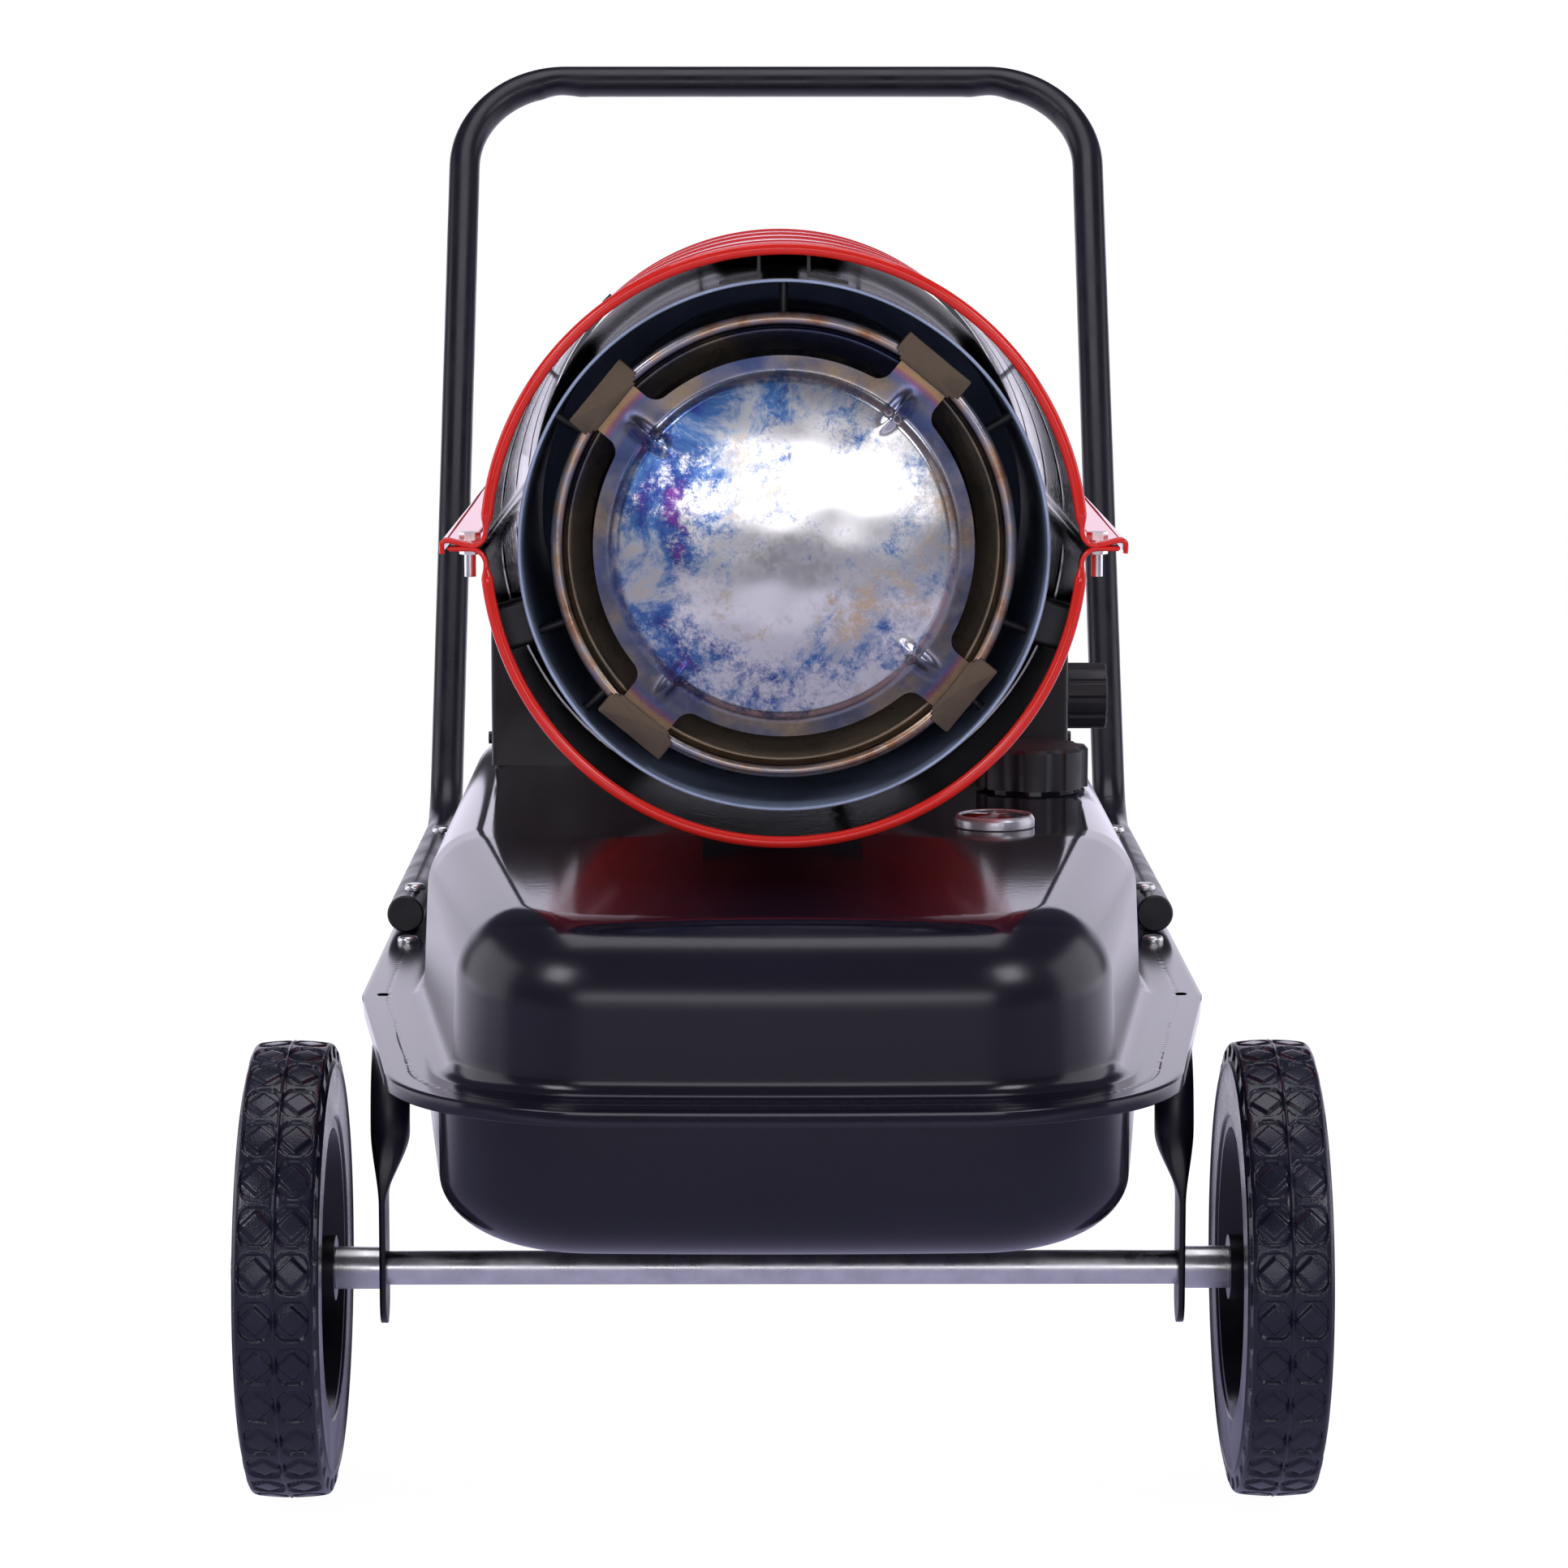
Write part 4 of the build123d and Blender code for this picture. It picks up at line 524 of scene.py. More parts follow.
# %% [markdown]
# The chamber and the baffle have been hot. Steel that was heated and cooled keeps an oxide film
# whose thickness sets its colour: straw, bronze, purple, then blue. The baffle is polished sheet
# whose film is broken into cloudy patches, so two layers of noise choose between bare bright
# steel and the film, and a third chooses the film's colour. The colour runs bluer to the left
# and browner at the rim and on the arms, as distances from the nozzle's axis tell it.

# %% Heat-tinted steel


def distance_from_axis(place):
    """Metres from the nozzle's axis to the place."""
    tree = place["Z"].id_data
    above = add(tree, "ShaderNodeMath", {0: place["Z"], 1: nozzle_z}, operation="SUBTRACT")
    across = add(tree, "ShaderNodeCombineXYZ", {"X": place["X"], "Z": above.outputs[0]})
    return add(tree, "ShaderNodeVectorMath", {0: across.outputs[0]}, operation="LENGTH").outputs["Value"]


tree, shader = new_material("baffle_steel")
place = place_in(tree)
radius = distance_from_axis(place)
cloud = noise(tree, 22, 8.0, 0.72, distortion=0.5)
film = ramp(sum_of(cloud, place["X"], -0.9),
            [(0.36, (0.72, 0.56, 0.38)), (0.46, (0.54, 0.58, 0.63)), (0.54, (0.09, 0.21, 0.47)),
             (0.63, (0.04, 0.07, 0.30)), (0.72, (0.25, 0.05, 0.30))])
speckle = noise(tree, 120, 10.0, 0.86, distortion=0.2)
cover = sum_of(speckle, noise(tree, 12, 3.0), 1.1)
cover = sum_of(cover, between(radius, 0.020, 0.086, -0.11, 0.10), 1.0)
cover = sum_of(cover, place["X"], -0.7)
bare = (0.84, 0.83, 0.80)
rim_tint = ramp(noise(tree, 34, 5.0),
                [(0.36, (0.06, 0.08, 0.17)), (0.50, (0.14, 0.14, 0.19)), (0.64, (0.26, 0.20, 0.14))])
arm_tint = ramp(between(radius, 0.100, 0.112),
                [(0.0, (0.16, 0.15, 0.17)), (0.35, (0.10, 0.12, 0.22)), (0.6, (0.22, 0.10, 0.16)),
                 (0.8, (0.34, 0.20, 0.10)), (1.0, (0.24, 0.18, 0.12))])
colour = blend(between(cover, 1.00, 1.13), bare, film)
colour = blend(between(radius, 0.084, 0.092), colour, rim_tint)
colour = blend(between(radius, 0.098, 0.102), colour, arm_tint)
# Below the nozzle's axis the baffle is less metallic, so its lower half shows more diffuse light and
# comes out lighter: painted light.
feed(shader, {
    "Base Color": colour, "Roughness": between(cover, 0.90, 1.25, 0.17, 0.32),
    "Metallic": between(place["Z"], 0.505, 0.545, 0.74, 1.0)})
bump(shader, noise(tree, 160, 3.0, stretch=(1, 1, 0.12)), 0.10, 0.0004)
bump(shader, noise(tree, 14, 2.0), 0.20, 0.002)
dress(nodes["flame_baffle"], "baffle_steel")

tree, shader = new_material("chamber_steel")
place = place_in(tree)
radius = distance_from_axis(place)
height_tint = sum_of(noise(tree, 20, 6.0, 0.65, stretch=(1, 0.5, 1)), place["Z"], 1.6)
tint = ramp(between(height_tint, 0.9, 1.9),
            [(0.36, (0.27, 0.21, 0.15)), (0.48, (0.19, 0.155, 0.115)), (0.58, (0.11, 0.10, 0.11)),
             (0.68, (0.05, 0.06, 0.12))])
bead_tint = ramp(noise(tree, 42, 7.0, 0.7),
                 [(0.36, (0.40, 0.20, 0.11)), (0.46, (0.50, 0.36, 0.26)), (0.54, (0.40, 0.37, 0.38)),
                  (0.66, (0.30, 0.30, 0.36))])
feed(shader, {
    "Base Color": blend(between(radius, 0.1135, 0.1155), tint, bead_tint),
    "Roughness": between(noise(tree, 50, 4.0), 0.3, 0.7, 0.22, 0.42),
    "Metallic": between(radius, 0.1095, 0.1118, 0.30, 1.0)})
bump(shader, noise(tree, 200, 3.0), 0.12, 0.0004)
dress(nodes["combustion_chamber"], "chamber_steel")
print("finishes", len(made))

# %% [markdown]
# ## The fuel tank
# Two pressed halves meet at a flat welded flange. Each half is one grid: columns run round the
# coffin-shaped outline and rows step inwards over the section. A ring that lies d inside the
# flange's edge is the outline moved d along its inward normal, so the corner radii shrink by d.

# %% The outline and its normals


def rounded_outline(corners, radii, step):
    """Points and outward normals round a convex polygon (counter-clockwise) with rounded corners.
    At each corner the arc's centre lies r/tan(half the inner angle) along both sides."""
    corners = np.asarray(corners, float)
    points, normals = [], []
    for k, radius in enumerate(radii):
        corner, before, after = corners[k], corners[k - 1], corners[(k + 1) % len(corners)]
        p, q = unit(before - corner), unit(after - corner)
        half = math.acos(float(p @ q)) / 2
        middle = corner + unit(p + q) * radius / math.sin(half)
        n0 = np.array([-p[1], p[0]])
        n1 = np.array([q[1], -q[0]])
        turn = math.acos(float(np.clip(n0 @ n1, -1, 1)))
        t = np.linspace(0, 1, max(4, int(turn * radius / step)))[:, None]
        n = n0 * np.sin((1 - t) * turn) / math.sin(turn) + n1 * np.sin(t * turn) / math.sin(turn)
        points.append(middle + n * radius)
        normals.append(n)
    outline, normal = [], []
    for k in range(len(points)):
        start, end = points[k][-1], points[(k + 1) % len(points)][0]
        count = max(2, int(np.linalg.norm(end - start) / step))
        t = np.linspace(0, 1, count, endpoint=False)[1:, None]
        outline += [points[k], start + (end - start) * t]
        normal += [normals[k], np.broadcast_to(normals[k][-1], (count - 1, 2))]
    return np.vstack(outline), np.vstack(normal)


flange_z = 0.276
nose_back, knee_back, tail_back = -0.303, 0.023, 0.545
nose_half, knee_half = 0.1926, 0.235
flange_corners = [(-nose_half, nose_back), (nose_half, nose_back), (knee_half, knee_back),
                  (knee_half, tail_back), (-knee_half, tail_back), (-knee_half, knee_back)]
outline, outward = rounded_outline(flange_corners, [0.113, 0.113, 0.12, 0.070, 0.070, 0.12], 0.0021)
print("tank outline", len(outline), "points")

deck_z, deck_fall, deck_run, crease_back = 0.370, 0.010, 0.311, -0.002


def tank_ring(inset):
    """The outline moved inwards by inset, with the nose bowed forward by up to 10 mm."""
    ring = outline - outward * np.asarray(inset)[..., None]
    bow = 0.010 * (1 - (ring[:, 0] / nose_half) ** 2) * smooth(-ring[:, 1], -knee_back, 0.20 - knee_back)
    return np.stack([ring[:, 0], ring[:, 1] - np.maximum(bow, -0.003)], -1)


def deck_height(back):
    """The deck is level behind its crease and falls to the nose in front of it. The distance
    ahead of the crease is (a + sqrt(a^2 + c^2)) / 2, which rounds the crease over c = 5 mm."""
    ahead = crease_back - back
    ahead = (ahead + np.sqrt(ahead ** 2 + 0.005 ** 2)) / 2
    return deck_z - ahead * deck_fall / deck_run


def nose_share(back):
    """0 behind the crease, 1 at the nose."""
    return np.clip((crease_back - back) / deck_run, 0, 1)


# %% [markdown]
# The spot-welded seam runs along the flange about 14 mm from the wall. Welding leaves a row of
# small dimples and a shallow groove, which catch the light as a dotted line. They are real
# relief here: a groove in the row heights, with a fine wave along the outline.

# %% The upper half of the tank
arc_length = np.concatenate([[0], np.cumsum(np.linalg.norm(np.diff(outline, axis=0), axis=1))])
wobble = 0.4 + 0.3 * np.sin(arc_length * 61) + 0.3 * np.sin(arc_length * 23 + 1.3)
beads = np.maximum(0, np.sin(arc_length * 2 * np.pi / 0.0068)) ** 2 * wobble
lip_depth = 0.006 * np.clip((0.012 - outline[:, 1]) / 0.02, 0, 1) + 0.0002


def quarter(count):
    """(sine, 1 - cosine) of angles up to a quarter turn, for fillets."""
    t = np.linspace(0, np.pi / 2, count)[1:]
    return zip(np.sin(t), 1 - np.cos(t))


def tank_rows(rows, ring_at=tank_ring):
    """Stacks (inset, height array or number) rows into a grid of points."""
    grid = []
    for inset, height in rows:
        ring = ring_at(inset)
        grid.append(np.stack([ring[:, 0], behind(ring[:, 1]), np.broadcast_to(height, len(ring))], -1))
    return np.array(grid)


def towards_spine(edge, count):
    """Rows that carry a ring in to a line along the tank's middle."""
    spine_y = behind(np.clip(edge[:, 1] - axle_y, -0.06, 0.36))
    spine = np.stack([edge[:, 0] * 0, spine_y, edge[:, 2]], -1)
    t = np.linspace(0, 1, count)[1:, None, None]
    return edge * (1 - t) + spine * t


top_of_flange = flange_z + 0.0015
lip_z = flange_z - lip_depth
rows = [(0.0016, lip_z), (0.0006, lip_z - 0.0001), (0.0, lip_z + 0.0006), (0.0, flange_z - 0.0006),
        (0.0003, flange_z + 0.0007), (0.0012, top_of_flange - 0.0002), (0.0026, top_of_flange)]
groove, groove_half = 0.0138, 0.0011
for inset in np.concatenate([np.linspace(0.0045, 0.0105, 5), np.linspace(0.0115, 0.0165, 9),
                             np.linspace(0.0180, 0.0255, 5)]):
    near = np.exp(-((inset - groove - 0.0006 * (wobble - 0.5)) / groove_half) ** 2)
    relief = -0.00022 * near + 0.00060 * near * beads - 0.00045 * near * (beads > 0.55)
    rows.append((inset, top_of_flange + relief))
foot_radius = 0.009
wall_foot = top_of_flange + foot_radius
rows += [(0.026 + foot_radius * a, top_of_flange + foot_radius * b) for a, b in quarter(8)]
ring = tank_ring(0.037)
nose = nose_share(ring[:, 1])
shoulder = deck_height(ring[:, 1]) - 0.032 - 0.010 * nose
rows += [(0.035 + 0.0022 * t, wall_foot + (shoulder - wall_foot) * t) for t in np.linspace(0, 1, 9)[1:]]
for b, a in quarter(14):
    inset = 0.0372 + (0.0315 + 0.012 * nose) * a
    rows.append((inset, shoulder + (deck_height(tank_ring(inset)[:, 1]) - shoulder) * b))
upper_grid = tank_rows(rows)
deck = towards_spine(upper_grid[-1], 44)
deck[..., 2] = deck_height(deck[..., 1] - axle_y)
upper_grid = np.concatenate([upper_grid, deck])


def open_hole(grid, centre, radius, reach, clear):
    """Pushes points within reach of centre outwards, r' = radius + r*(reach - radius)/reach, and
    returns the grid with a mask of points that were nearer than clear, whose faces are left out."""
    offset = grid[..., :2] - np.asarray(centre)
    distance = np.linalg.norm(offset, axis=-1)
    pushed = radius + distance * (reach - radius) / reach
    scale = np.where(distance < reach, pushed / np.maximum(distance, 1e-6), 1.0)
    grid = grid.copy()
    grid[..., :2] = np.asarray(centre) + offset * scale[..., None]
    return grid, distance < clear


def sheet_without(grid, masks):
    """A ring-shaped sheet whose quads with a masked corner are left out."""
    vertices, quads, triangles = sheet(grid, close_columns=True)
    gone = np.any([m.reshape(-1) for m in masks], axis=0)
    return vertices, quads[~gone[quads].any(1)], triangles


def with_screw_holes(grid):
    """Opens the flange's two screw holes. Returns the grid and their masks."""
    masks = []
    for side in (-1, 1):
        grid, mask = open_hole(grid, (side * 0.223, behind(0.023)), 0.0034, 0.0075, 0.0012)
        masks.append(mask & (abs(grid[..., 2] - flange_z) < 0.024))
    return grid, masks


upper_grid, neck_mask = open_hole(upper_grid, (0.149, behind(0.200)), 0.0255, 0.036, 0.006)
upper_grid, masks = with_screw_holes(upper_grid)
tank_sheet = sheet_without(upper_grid, [neck_mask] + masks)
tank_top = make_piece("tank_top_skin", [tank_sheet], closed=False)
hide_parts("tank_upper")
dress(tank_top, "tank_black")

# %% The lower half of the tank
bottom_of_flange, wall_depth, base_depth = flange_z - 0.0015, 0.052, 0.036
front_share = smooth(-outline[:, 1], -0.30, 0.0)


def lower_ring(inset):
    """The lower half is blunter than the upper: past the flange its nose is 6% wider and the
    rest 2.5% narrower."""
    ring = tank_ring(inset)
    ahead = np.clip((0.10 - outline[:, 1]) / 0.40, 0, 1)
    past = np.minimum(1, np.asarray(inset) / 0.032)
    ring[:, 0] *= 1 + past * (0.085 * ahead - 0.025)
    return ring


rows = [(0.0030, flange_z + 0.0002), (0.0020, flange_z), (0.0018, flange_z - 0.0007),
        (0.0024, flange_z - 0.0014), (0.0034, bottom_of_flange)]
rows += [(inset, bottom_of_flange) for inset in np.linspace(0.005, 0.031, 12)]
rows += [(0.032 + 0.003 * a, bottom_of_flange - 0.003 * b) for a, b in quarter(8)]
rows += [(0.035, flange_z - 0.0045 - 0.0475 * t) for t in np.linspace(0, 1, 6)[1:]]
rows += [(0.035 + (0.032 + 0.023 * front_share) * a, flange_z - wall_depth - base_depth * b)
         for b, a in quarter(20)]
lower_grid = tank_rows(rows, lower_ring)
lower_grid = np.concatenate([lower_grid, towards_spine(lower_grid[-1], 10)])
lower_grid, masks = with_screw_holes(lower_grid[::-1])
tank_base = make_piece("tank_base_skin", [sheet_without(lower_grid, masks)], closed=False)
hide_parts("tank_lower")
dress(tank_base, "tank_black")

# %% [markdown]
# ## The air shell
# Each half is a section path carried from the lip to the rear edge: along the circle, round a
# small bend, and out along the bolting ear. The ribs are a bulge that depends on the distance
# along the shell and fades before the bends. Solidify turns the skin into 1.2 mm sheet, with
# the black inside as a second material, and the rolled lip is a tube along the front section.

# %% Section of one half


def shell_section(up, radius, reach, hook):
    """(x, z) from the axis along the outer skin, left ear to right ear, and how much of a rib each
    point takes. The bend's centre lies at radius + bend from the axis, bend above the ear."""
    bend, top = 0.008, 0.0012
    z_bend = top + bend
    x_bend = math.sqrt((radius + bend) ** 2 - z_bend ** 2)
    touch = math.degrees(math.atan2(z_bend, x_bend))
    circle = arc_between((0, 0), radius, 90, touch, 120)
    corner = arc_between((x_bend, z_bend), bend, 180 + touch, 270, 10)[1:]
    ear_x = np.linspace(x_bend, reach - 0.0022, 18)[1:]
    rise = 0.0030 * hook * np.clip((ear_x - (reach - 0.018)) / 0.014, 0, 1) ** 1.3
    ear = np.stack([ear_x, top + rise], -1)
    right = [circle, corner, ear]
    if hook:
        right.append(arc_between((reach - 0.0022, top + rise[-1] - 0.0022), 0.0022, 90, 0, 7)[1:])
        right.append(np.array([[reach, 0.0], [reach - 0.0003, -0.0024]]))
    right = np.vstack(right)
    angle = np.degrees(np.arctan2(right[:, 1], right[:, 0]))
    takes = smooth(angle, touch, touch + 5.0)
    path = np.vstack([right[:0:-1] * [-1, 1], right])
    return path * [1, up], np.concatenate([takes[:0:-1], takes])


shell_front, shell_radius = -0.1738, 0.1535
rib_starts, rib_width = np.array([-0.035, 0.105, 0.245, 0.385]), 0.012
ribs = [start + rib_width * np.linspace(0, 1, 13) for start in rib_starts]
shell_stations = np.unique(np.concatenate([np.linspace(shell_front, 0.430, 40)] + ribs).round(5))


def rib_height(back):
    """Four ribs, 12 mm wide and 1 mm high: a power of a sine, flattened at its crown."""
    t = np.clip((back - rib_starts) / rib_width, 0, 1)
    return 0.0010 * np.minimum(1, 1.35 * np.sin(np.pi * t) ** 1.2).sum()


def upright(points, back):
    """(x, z) points from the nozzle's axis, standing this far behind the axle."""
    return np.stack([points[..., 0], behind(back) + 0 * points[..., 0], nozzle_z + points[..., 1]], -1)


def half_shell(name, up, reach, hook):
    """One half as a skin with Solidify, and its lip as a closed tube."""
    grid = []
    for back in shell_stations:
        radius = shell_radius - 0.002 * (back + 0.177) / 0.607
        section, takes = shell_section(up, radius, reach, hook)
        size = np.linalg.norm(section, axis=1)
        grid.append(upright(section * (1 + takes * rib_height(back) / size)[:, None], back))
    skin = make_piece(name + "_skin", [sheet(np.array(grid)[:, ::up])], closed=False)
    solid = skin.modifiers.new("sheet", "SOLIDIFY")
    solid.thickness, solid.offset = 0.0012, -1.0
    solid.material_offset, solid.material_offset_rim = 1, 0
    dress(skin, "shell_red", "shell_inside")
    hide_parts(name)
    section, takes = shell_section(up, shell_radius - 0.0006, reach - 0.0008, hook)
    line = upright(section, shell_front) - [0, 0, up * 0.0006]
    thick = 0.0013 + 0.0018 * np.clip(takes / 0.6, 0, 1)
    lip = swept(line, lambda path, out: thick[:, None], 20, (0, 1, 0))
    roll = make_piece(name + "_lip", [lip], sharp=70)
    dress(roll, "shell_red")


half_shell("upper_shell", 1, 0.176, 1)
half_shell("lower_shell", -1, 0.1745, 0)

# %% [markdown]
# ## Tubes
# The handle and the frame are 22 mm tube bent round a former. Hand bending leaves a shallow
# flattened dent inside the two upper corners of the handle, which the radius takes up locally.

# %% Handle
tube_radius = 0.011
handle_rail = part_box("handle_caps")[0].z + tube_radius
handle_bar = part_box("handle_tube")[1].z - tube_radius
bar_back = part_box("handle_tube")[1].y - tube_radius
lean = math.radians(32)
bend_spots = np.array([[side * 0.158, bar_back, handle_bar] for side in (-1, 1)])


def bent_route(right_side, radii, step):
    """A path through the right side's points and their mirror images, with rounded corners."""
    corners = right_side + [(-x, y, z) for x, y, z in right_side[::-1]]
    return along(round_corners(corners, radii), step)


def handle_radius(path, out):
    """22 mm tube, pressed in by up to 1.6 mm on the inner side where each upper bend begins."""
    away = [np.linalg.norm(path - spot, axis=1) for spot in bend_spots]
    near = sum(np.exp(-(distance / 0.011) ** 2) for distance in away)
    ripple = sum(np.exp(-((distance - 0.016) / 0.004) ** 2) for distance in away)
    facing_in = np.clip(-(out @ np.array([0, math.sin(lean), math.cos(lean)])), 0, 1) ** 1.5
    return tube_radius - (0.0016 * near - 0.0005 * ripple)[:, None] * facing_in


route = bent_route([(0.226, behind(0.243), handle_rail), (0.226, behind(0.622), handle_rail),
                    (0.226, bar_back, handle_bar)], [0.060, 0.072, 0.072, 0.060], 0.004)
tube = swept(route, handle_radius, 48, (0, -math.cos(lean), math.sin(lean)))
handle = make_piece("handle_bend", [tube], sharp=50)
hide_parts("handle_tube")
dress(handle, "tube_black")

# %% Frame with its flattened legs
rail_z, leg_x, leg_top, leg_tip, flat_half = 0.2635, 0.218, 0.205, 0.096, 0.002
route = bent_route([(leg_x, axle_y, leg_top), (leg_x, axle_y, rail_z),
                    (leg_x, behind(0.580), rail_z), (0.165, behind(0.640), tube_radius)],
                   [0.056, 0.060, 0.060, 0.060, 0.060, 0.056], 0.005)
middle = len(route) // 2
rails = [swept(half, tube_radius, 40, (0.5 * flip, -0.6, 0.6))
         for half, flip in ((route[:middle + 2], 1), (route[middle - 1:], -1))]

# Down each leg the tube's round ring eases into a flat one, which ends in a rounded tip.
leg_flat = leg_top - 0.040
down = np.append(np.linspace(leg_top, leg_flat, 40), np.linspace(leg_flat, leg_tip, 30)[1:])[:, None]
ease = smooth(-down, -leg_top, -leg_flat)
tip = np.sqrt(np.clip(1 - np.clip((0.112 - down) / 0.0161, 0, 1) ** 2, 0.02, 1))
half_x = tube_radius - (tube_radius - flat_half) * ease
half_y = (tube_radius + 0.005 * ease) * tip
shift, square = 0.004 * ease, 1 + 2.5 * ease
a = np.arange(40) * 2 * np.pi / 40
cx, cy = (np.sign(w) * np.abs(w) ** (1 / square) for w in (np.cos(a), np.sin(a)))
for side in (-1, 1):
    leg = np.stack([side * (leg_x + shift) + half_x * cx, axle_y + half_y * cy,
                    np.broadcast_to(down, cx.shape)], -1)
    rails.append(sheet(leg, close_columns=True, caps=True))
frame_piece = make_piece("frame_bend", rails, sharp=50)
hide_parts("frame_tube")
dress(frame_piece, "tube_black")

# %% [markdown]
# ## Tyres
# A tyre is a grid round the wheel: columns go round, rows go across the section. The tread is
# relief on the crown: two rows of 31 rounded recesses, 1.7 mm deep, with a flat diamond standing
# in each. A point's place in its pattern cell is (across, along); the diamond is where
# |across| + |along| is small, and the recess is where a rounded square norm of them is small.

# %% Tyre section and tread
diamonds, across_half = 31, 0.0182
crown_line = np.linspace(-across_half, 0.0, 27)
section = np.vstack([
    arc_between((-0.0205, 0.0860), 0.0020, 270, 180, 5),
    np.linspace((-0.0222, 0.0900), (-0.0222, 0.1120), 10),
    arc_between((-0.0222, 0.1140), 0.0012, 250, 110, 6),
    np.linspace((-0.0221, 0.1160), (-0.0214, 0.1215), 8),
    arc_between((-0.0184, 0.1222), 0.0032, 178, 100, 7),
    np.stack([crown_line, 0.1268 - 0.0012 * (crown_line / across_half) ** 2], -1)])
section = np.vstack([section, section[-2::-1] * [-1, 1]])


def tread(a, r, t):
    """Cuts the recesses, leaves the diamonds, and draws the mould's parting line at the middle."""
    pitch = 2 * np.pi / diamonds
    along_cell = ((t / pitch) % 1.0 - 0.5) * pitch * 0.127
    across_cell = np.abs(a) - 0.0099
    ring = (np.abs(across_cell) ** 3 + np.abs(along_cell * 0.84) ** 3) ** (1 / 3)
    hollow = 1 - smooth(ring, 0.0086, 0.0094)
    diamond = 1 - smooth(np.abs(across_cell) + np.abs(along_cell), 0.0078, 0.0088)
    crown = smooth(r, 0.1235, 0.1245)
    r = r - crown * 0.0017 * hollow * (1 - 0.86 * diamond)
    line, beside = np.exp(-(a / 0.0005) ** 2), np.exp(-((np.abs(a) - 0.0011) / 0.0005) ** 2)
    r = r + crown * 0.00035 * line - crown * 0.0004 * beside
    lug = smooth(np.cos(t * diamonds), -0.25, 0.05)
    side = smooth(r, 0.1165, 0.1175) * (1 - smooth(r, 0.1225, 0.1240))
    a = a - np.sign(a) * 0.0011 * side * lug
    return a, r


for name, x_mid in (("left", -0.272), ("right", 0.272)):
    points = turned(section, (x_mid, axle_y, axle_z), (1, 0, 0), diamonds * 26, tread)
    solid = sheet(points, close_rows=True, close_columns=True)
    tyre = make_piece("tread_" + name, [solid], "wheel_" + name, sharp=50)
    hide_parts("tyre_" + name)
    dress(tyre, "tread_rubber")

# %% [markdown]
# ## The hot end
# The baffle is pressed sheet: a shallow dome with a stepped edge, a flat ring, and four arms
# with a stiffening ridge at each root. Its outline is star-shaped, so columns are directions
# from the axis and rows are radii, with the last rows running out to the outline. The height is
# a formula of the radius and of the place along the nearest arm.

# %% Baffle
arm_half, arm_end, disc, root = 0.0145, 0.1125, 0.098, 0.008
root_u = math.sqrt((disc + root) ** 2 - (arm_half + root) ** 2)
root_turn = math.degrees(math.atan2(arm_half + root, root_u))
one_side = np.vstack([
    np.linspace((arm_end, 0), (arm_end, arm_half), 12),
    np.linspace((arm_end - 0.001, arm_half), (root_u + 0.001, arm_half), 6),
    arc_between((root_u, arm_half + root), root, 270, 180 + root_turn, 14),
    arc_between((0, 0), disc, root_turn + 1, 45, 26)])
arm_turns = np.radians(50.4 + 90 * np.arange(4))
arm_outline = np.vstack([one_side[:0:-1] * [1, -1], one_side])[:-1]


def turned_by(points, angle):
    """(u, w) points turned by an angle, as (x, z)."""
    c, s = math.cos(angle), math.sin(angle)
    return points @ np.array([[c, s], [-s, c]])


baffle_outline = np.vstack([turned_by(arm_outline, turn) for turn in arm_turns])
direction = unit(baffle_outline)
rim = 0.0955
inner_radii = np.concatenate([np.linspace(0.0005, 0.078, 42), np.linspace(0.0795, rim, 24)])
t = np.linspace(0, 1, 14)[1:, None, None]
flat = np.concatenate([direction * inner_radii[:, None, None],
                       direction * rim * (1 - t) + baffle_outline * t])


def baffle_height(points):
    """Forward height: a 9.5 mm dome on a 3.5 mm step, ridges at the arms, and faint waves."""
    x, z = points[..., 0], points[..., 1]
    r = np.hypot(x, z)
    height = 0.0095 * np.clip(1 - (r / 0.0865) ** 2, 0, 1) + 0.0035 * (1 - smooth(r, 0.0845, 0.0905))
    for turn in arm_turns:
        u = x * math.cos(turn) + z * math.sin(turn)
        w = -x * math.sin(turn) + z * math.cos(turn)
        length = smooth(u, 0.073, 0.088) * (1 - smooth(u, 0.092, 0.106))
        height = height + 0.0030 * np.exp(-(w / 0.0032) ** 2) * length
    waves = (np.sin(x * 95 + 1.1) * np.sin(z * 83 + 0.4) + 0.6 * np.sin(x * 171 - z * 140 + 2.0)
             + 0.4 * np.sin(z * 260 + x * 60))
    return height + 0.00009 * waves * (1 - smooth(r, 0.096, 0.112))


baffle_back, baffle_sheet = -0.166, 0.0015
front = baffle_back - baffle_sheet - baffle_height(flat)
both_sides = np.concatenate([upright(flat, front), upright(flat, front + baffle_sheet)[::-1]])
baffle = make_piece("baffle_press", [sheet(both_sides, close_columns=True, caps=True)], sharp=40)
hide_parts("flame_baffle")
dress(baffle, "baffle_steel")

# %% The four hooked heads
head = np.array([[0.126, 0], [0.126, 0.0199], [0.1254, 0.0205], [0.1150, 0.0205], [0.1146, 0.0201],
                 [0.1146, 0.0184], [0.1132, 0.0184], [0.1132, 0.0162], [0.1118, 0.0160], [0.1118, 0.0]])
head = np.vstack([head, head[-2:0:-1] * [1, -1]])
inwards = unit(np.array([0.118, 0.0]) - head)
head_levels = ((0.0009, 0.0032), (0.0003, 0.0030), (0.0, 0.0025), (0.0, -0.0045))
heads = []
for turn in arm_turns:
    levels = [upright(turned_by(head + inwards * shrink, turn), baffle_back - depth)
              for shrink, depth in head_levels]
    heads.append(sheet(np.array(levels), close_columns=True, caps=True))
hooks = make_piece("baffle_hooks", heads, sharp=30)
dress(hooks, "hook_steel")

# %% Combustion chamber and heat shield
drum_columns = 240


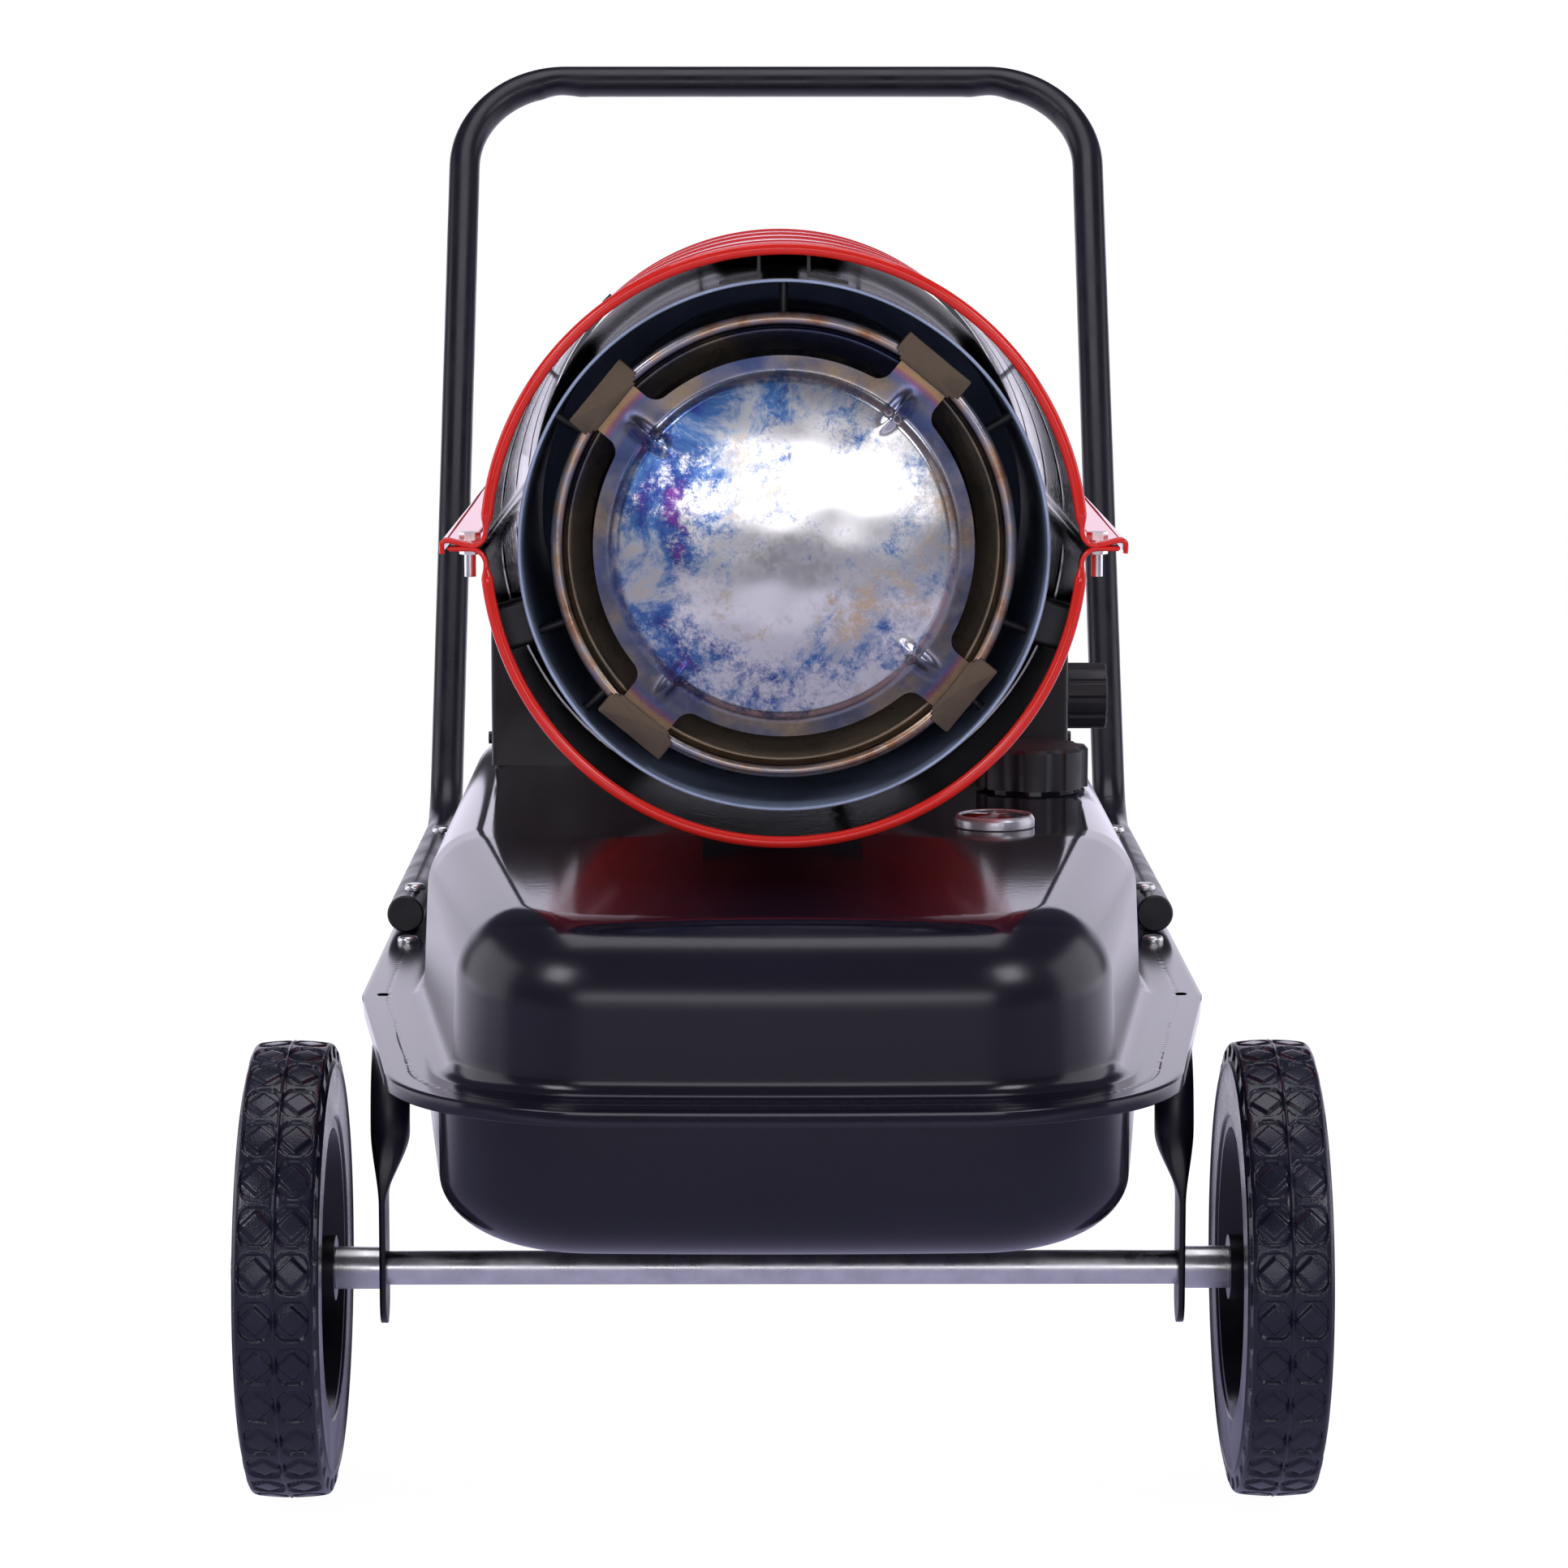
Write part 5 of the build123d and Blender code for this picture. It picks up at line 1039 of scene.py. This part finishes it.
def drum(name, profile, finishes, second_rows, sharp, wave=None):
    """A closed profile turned about the nozzle's axis. second_rows of it, counted as strips
    between profile points, take the second finish."""
    points = turned(profile, (0, axle_y, nozzle_z), (0, 1, 0), drum_columns, wave)
    solid = sheet(points, close_rows=True, close_columns=True)
    piece = make_piece(name, [solid], sharp=sharp)
    dress(piece, *finishes)
    slots = np.zeros((len(profile), drum_columns), np.int32)
    slots[second_rows] = 1
    piece.data.polygons.foreach_set("material_index", slots.reshape(-1))
    return piece


bead = arc_between((-0.1625, 0.1164), 0.0035, 60, 258, 30)
mouth = np.array([[-0.1592, 0.1124], [-0.1585, 0.1122]])
small_bead = arc_between((-0.1588, 0.1108), 0.0012, 80, 250, 10)
recess = np.array([[-0.1566, 0.1096], [-0.1550, 0.1088], [-0.1530, 0.1080], [-0.1450, 0.1046],
                   [-0.1350, 0.1000], [-0.1340, 0.1008], [-0.1500, 0.1078], [-0.1480, 0.1156],
                   [0.1488, 0.1158], [0.1488, 0.0483], [0.1500, 0.0483], [0.1500, 0.1160],
                   [0.1490, 0.1170], [-0.1590, 0.1170]])
chamber = drum("chamber_drum", np.vstack([bead, mouth, small_bead, recess]),
               ("chamber_steel", "drum_scale"), slice(-2, -1), 40)
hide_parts("combustion_chamber")

edge = arc_between((-0.1700, 0.1359), 0.0009, 90, 270, 10)
stations = np.linspace(-0.160, 0.205, 30)
flare = 0.0105 * smooth(stations, 0.08, 0.21)
inner_wall = np.stack([stations[:-1], 0.1350 + flare[:-1]], -1)
outer_wall = np.stack([stations, 0.1360 + flare], -1)[::-1]
rear_flange = np.array([[0.2040, 0.1130], [0.2050, 0.1130]])


def dented(a, r, t):
    """Rolled sheet is never quite round: a few tenths of a millimetre, more towards the front."""
    return a, r + 0.00022 * np.sin(3 * t + 0.7) + 0.00012 * np.sin(7 * t + 40 * a)


shield = drum("shield_drum", np.vstack([edge, inner_wall, rear_flange, outer_wall]),
              ("shield_blue", "shield_outside"), slice(-30, None), 60, dented)
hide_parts("heat_shield")
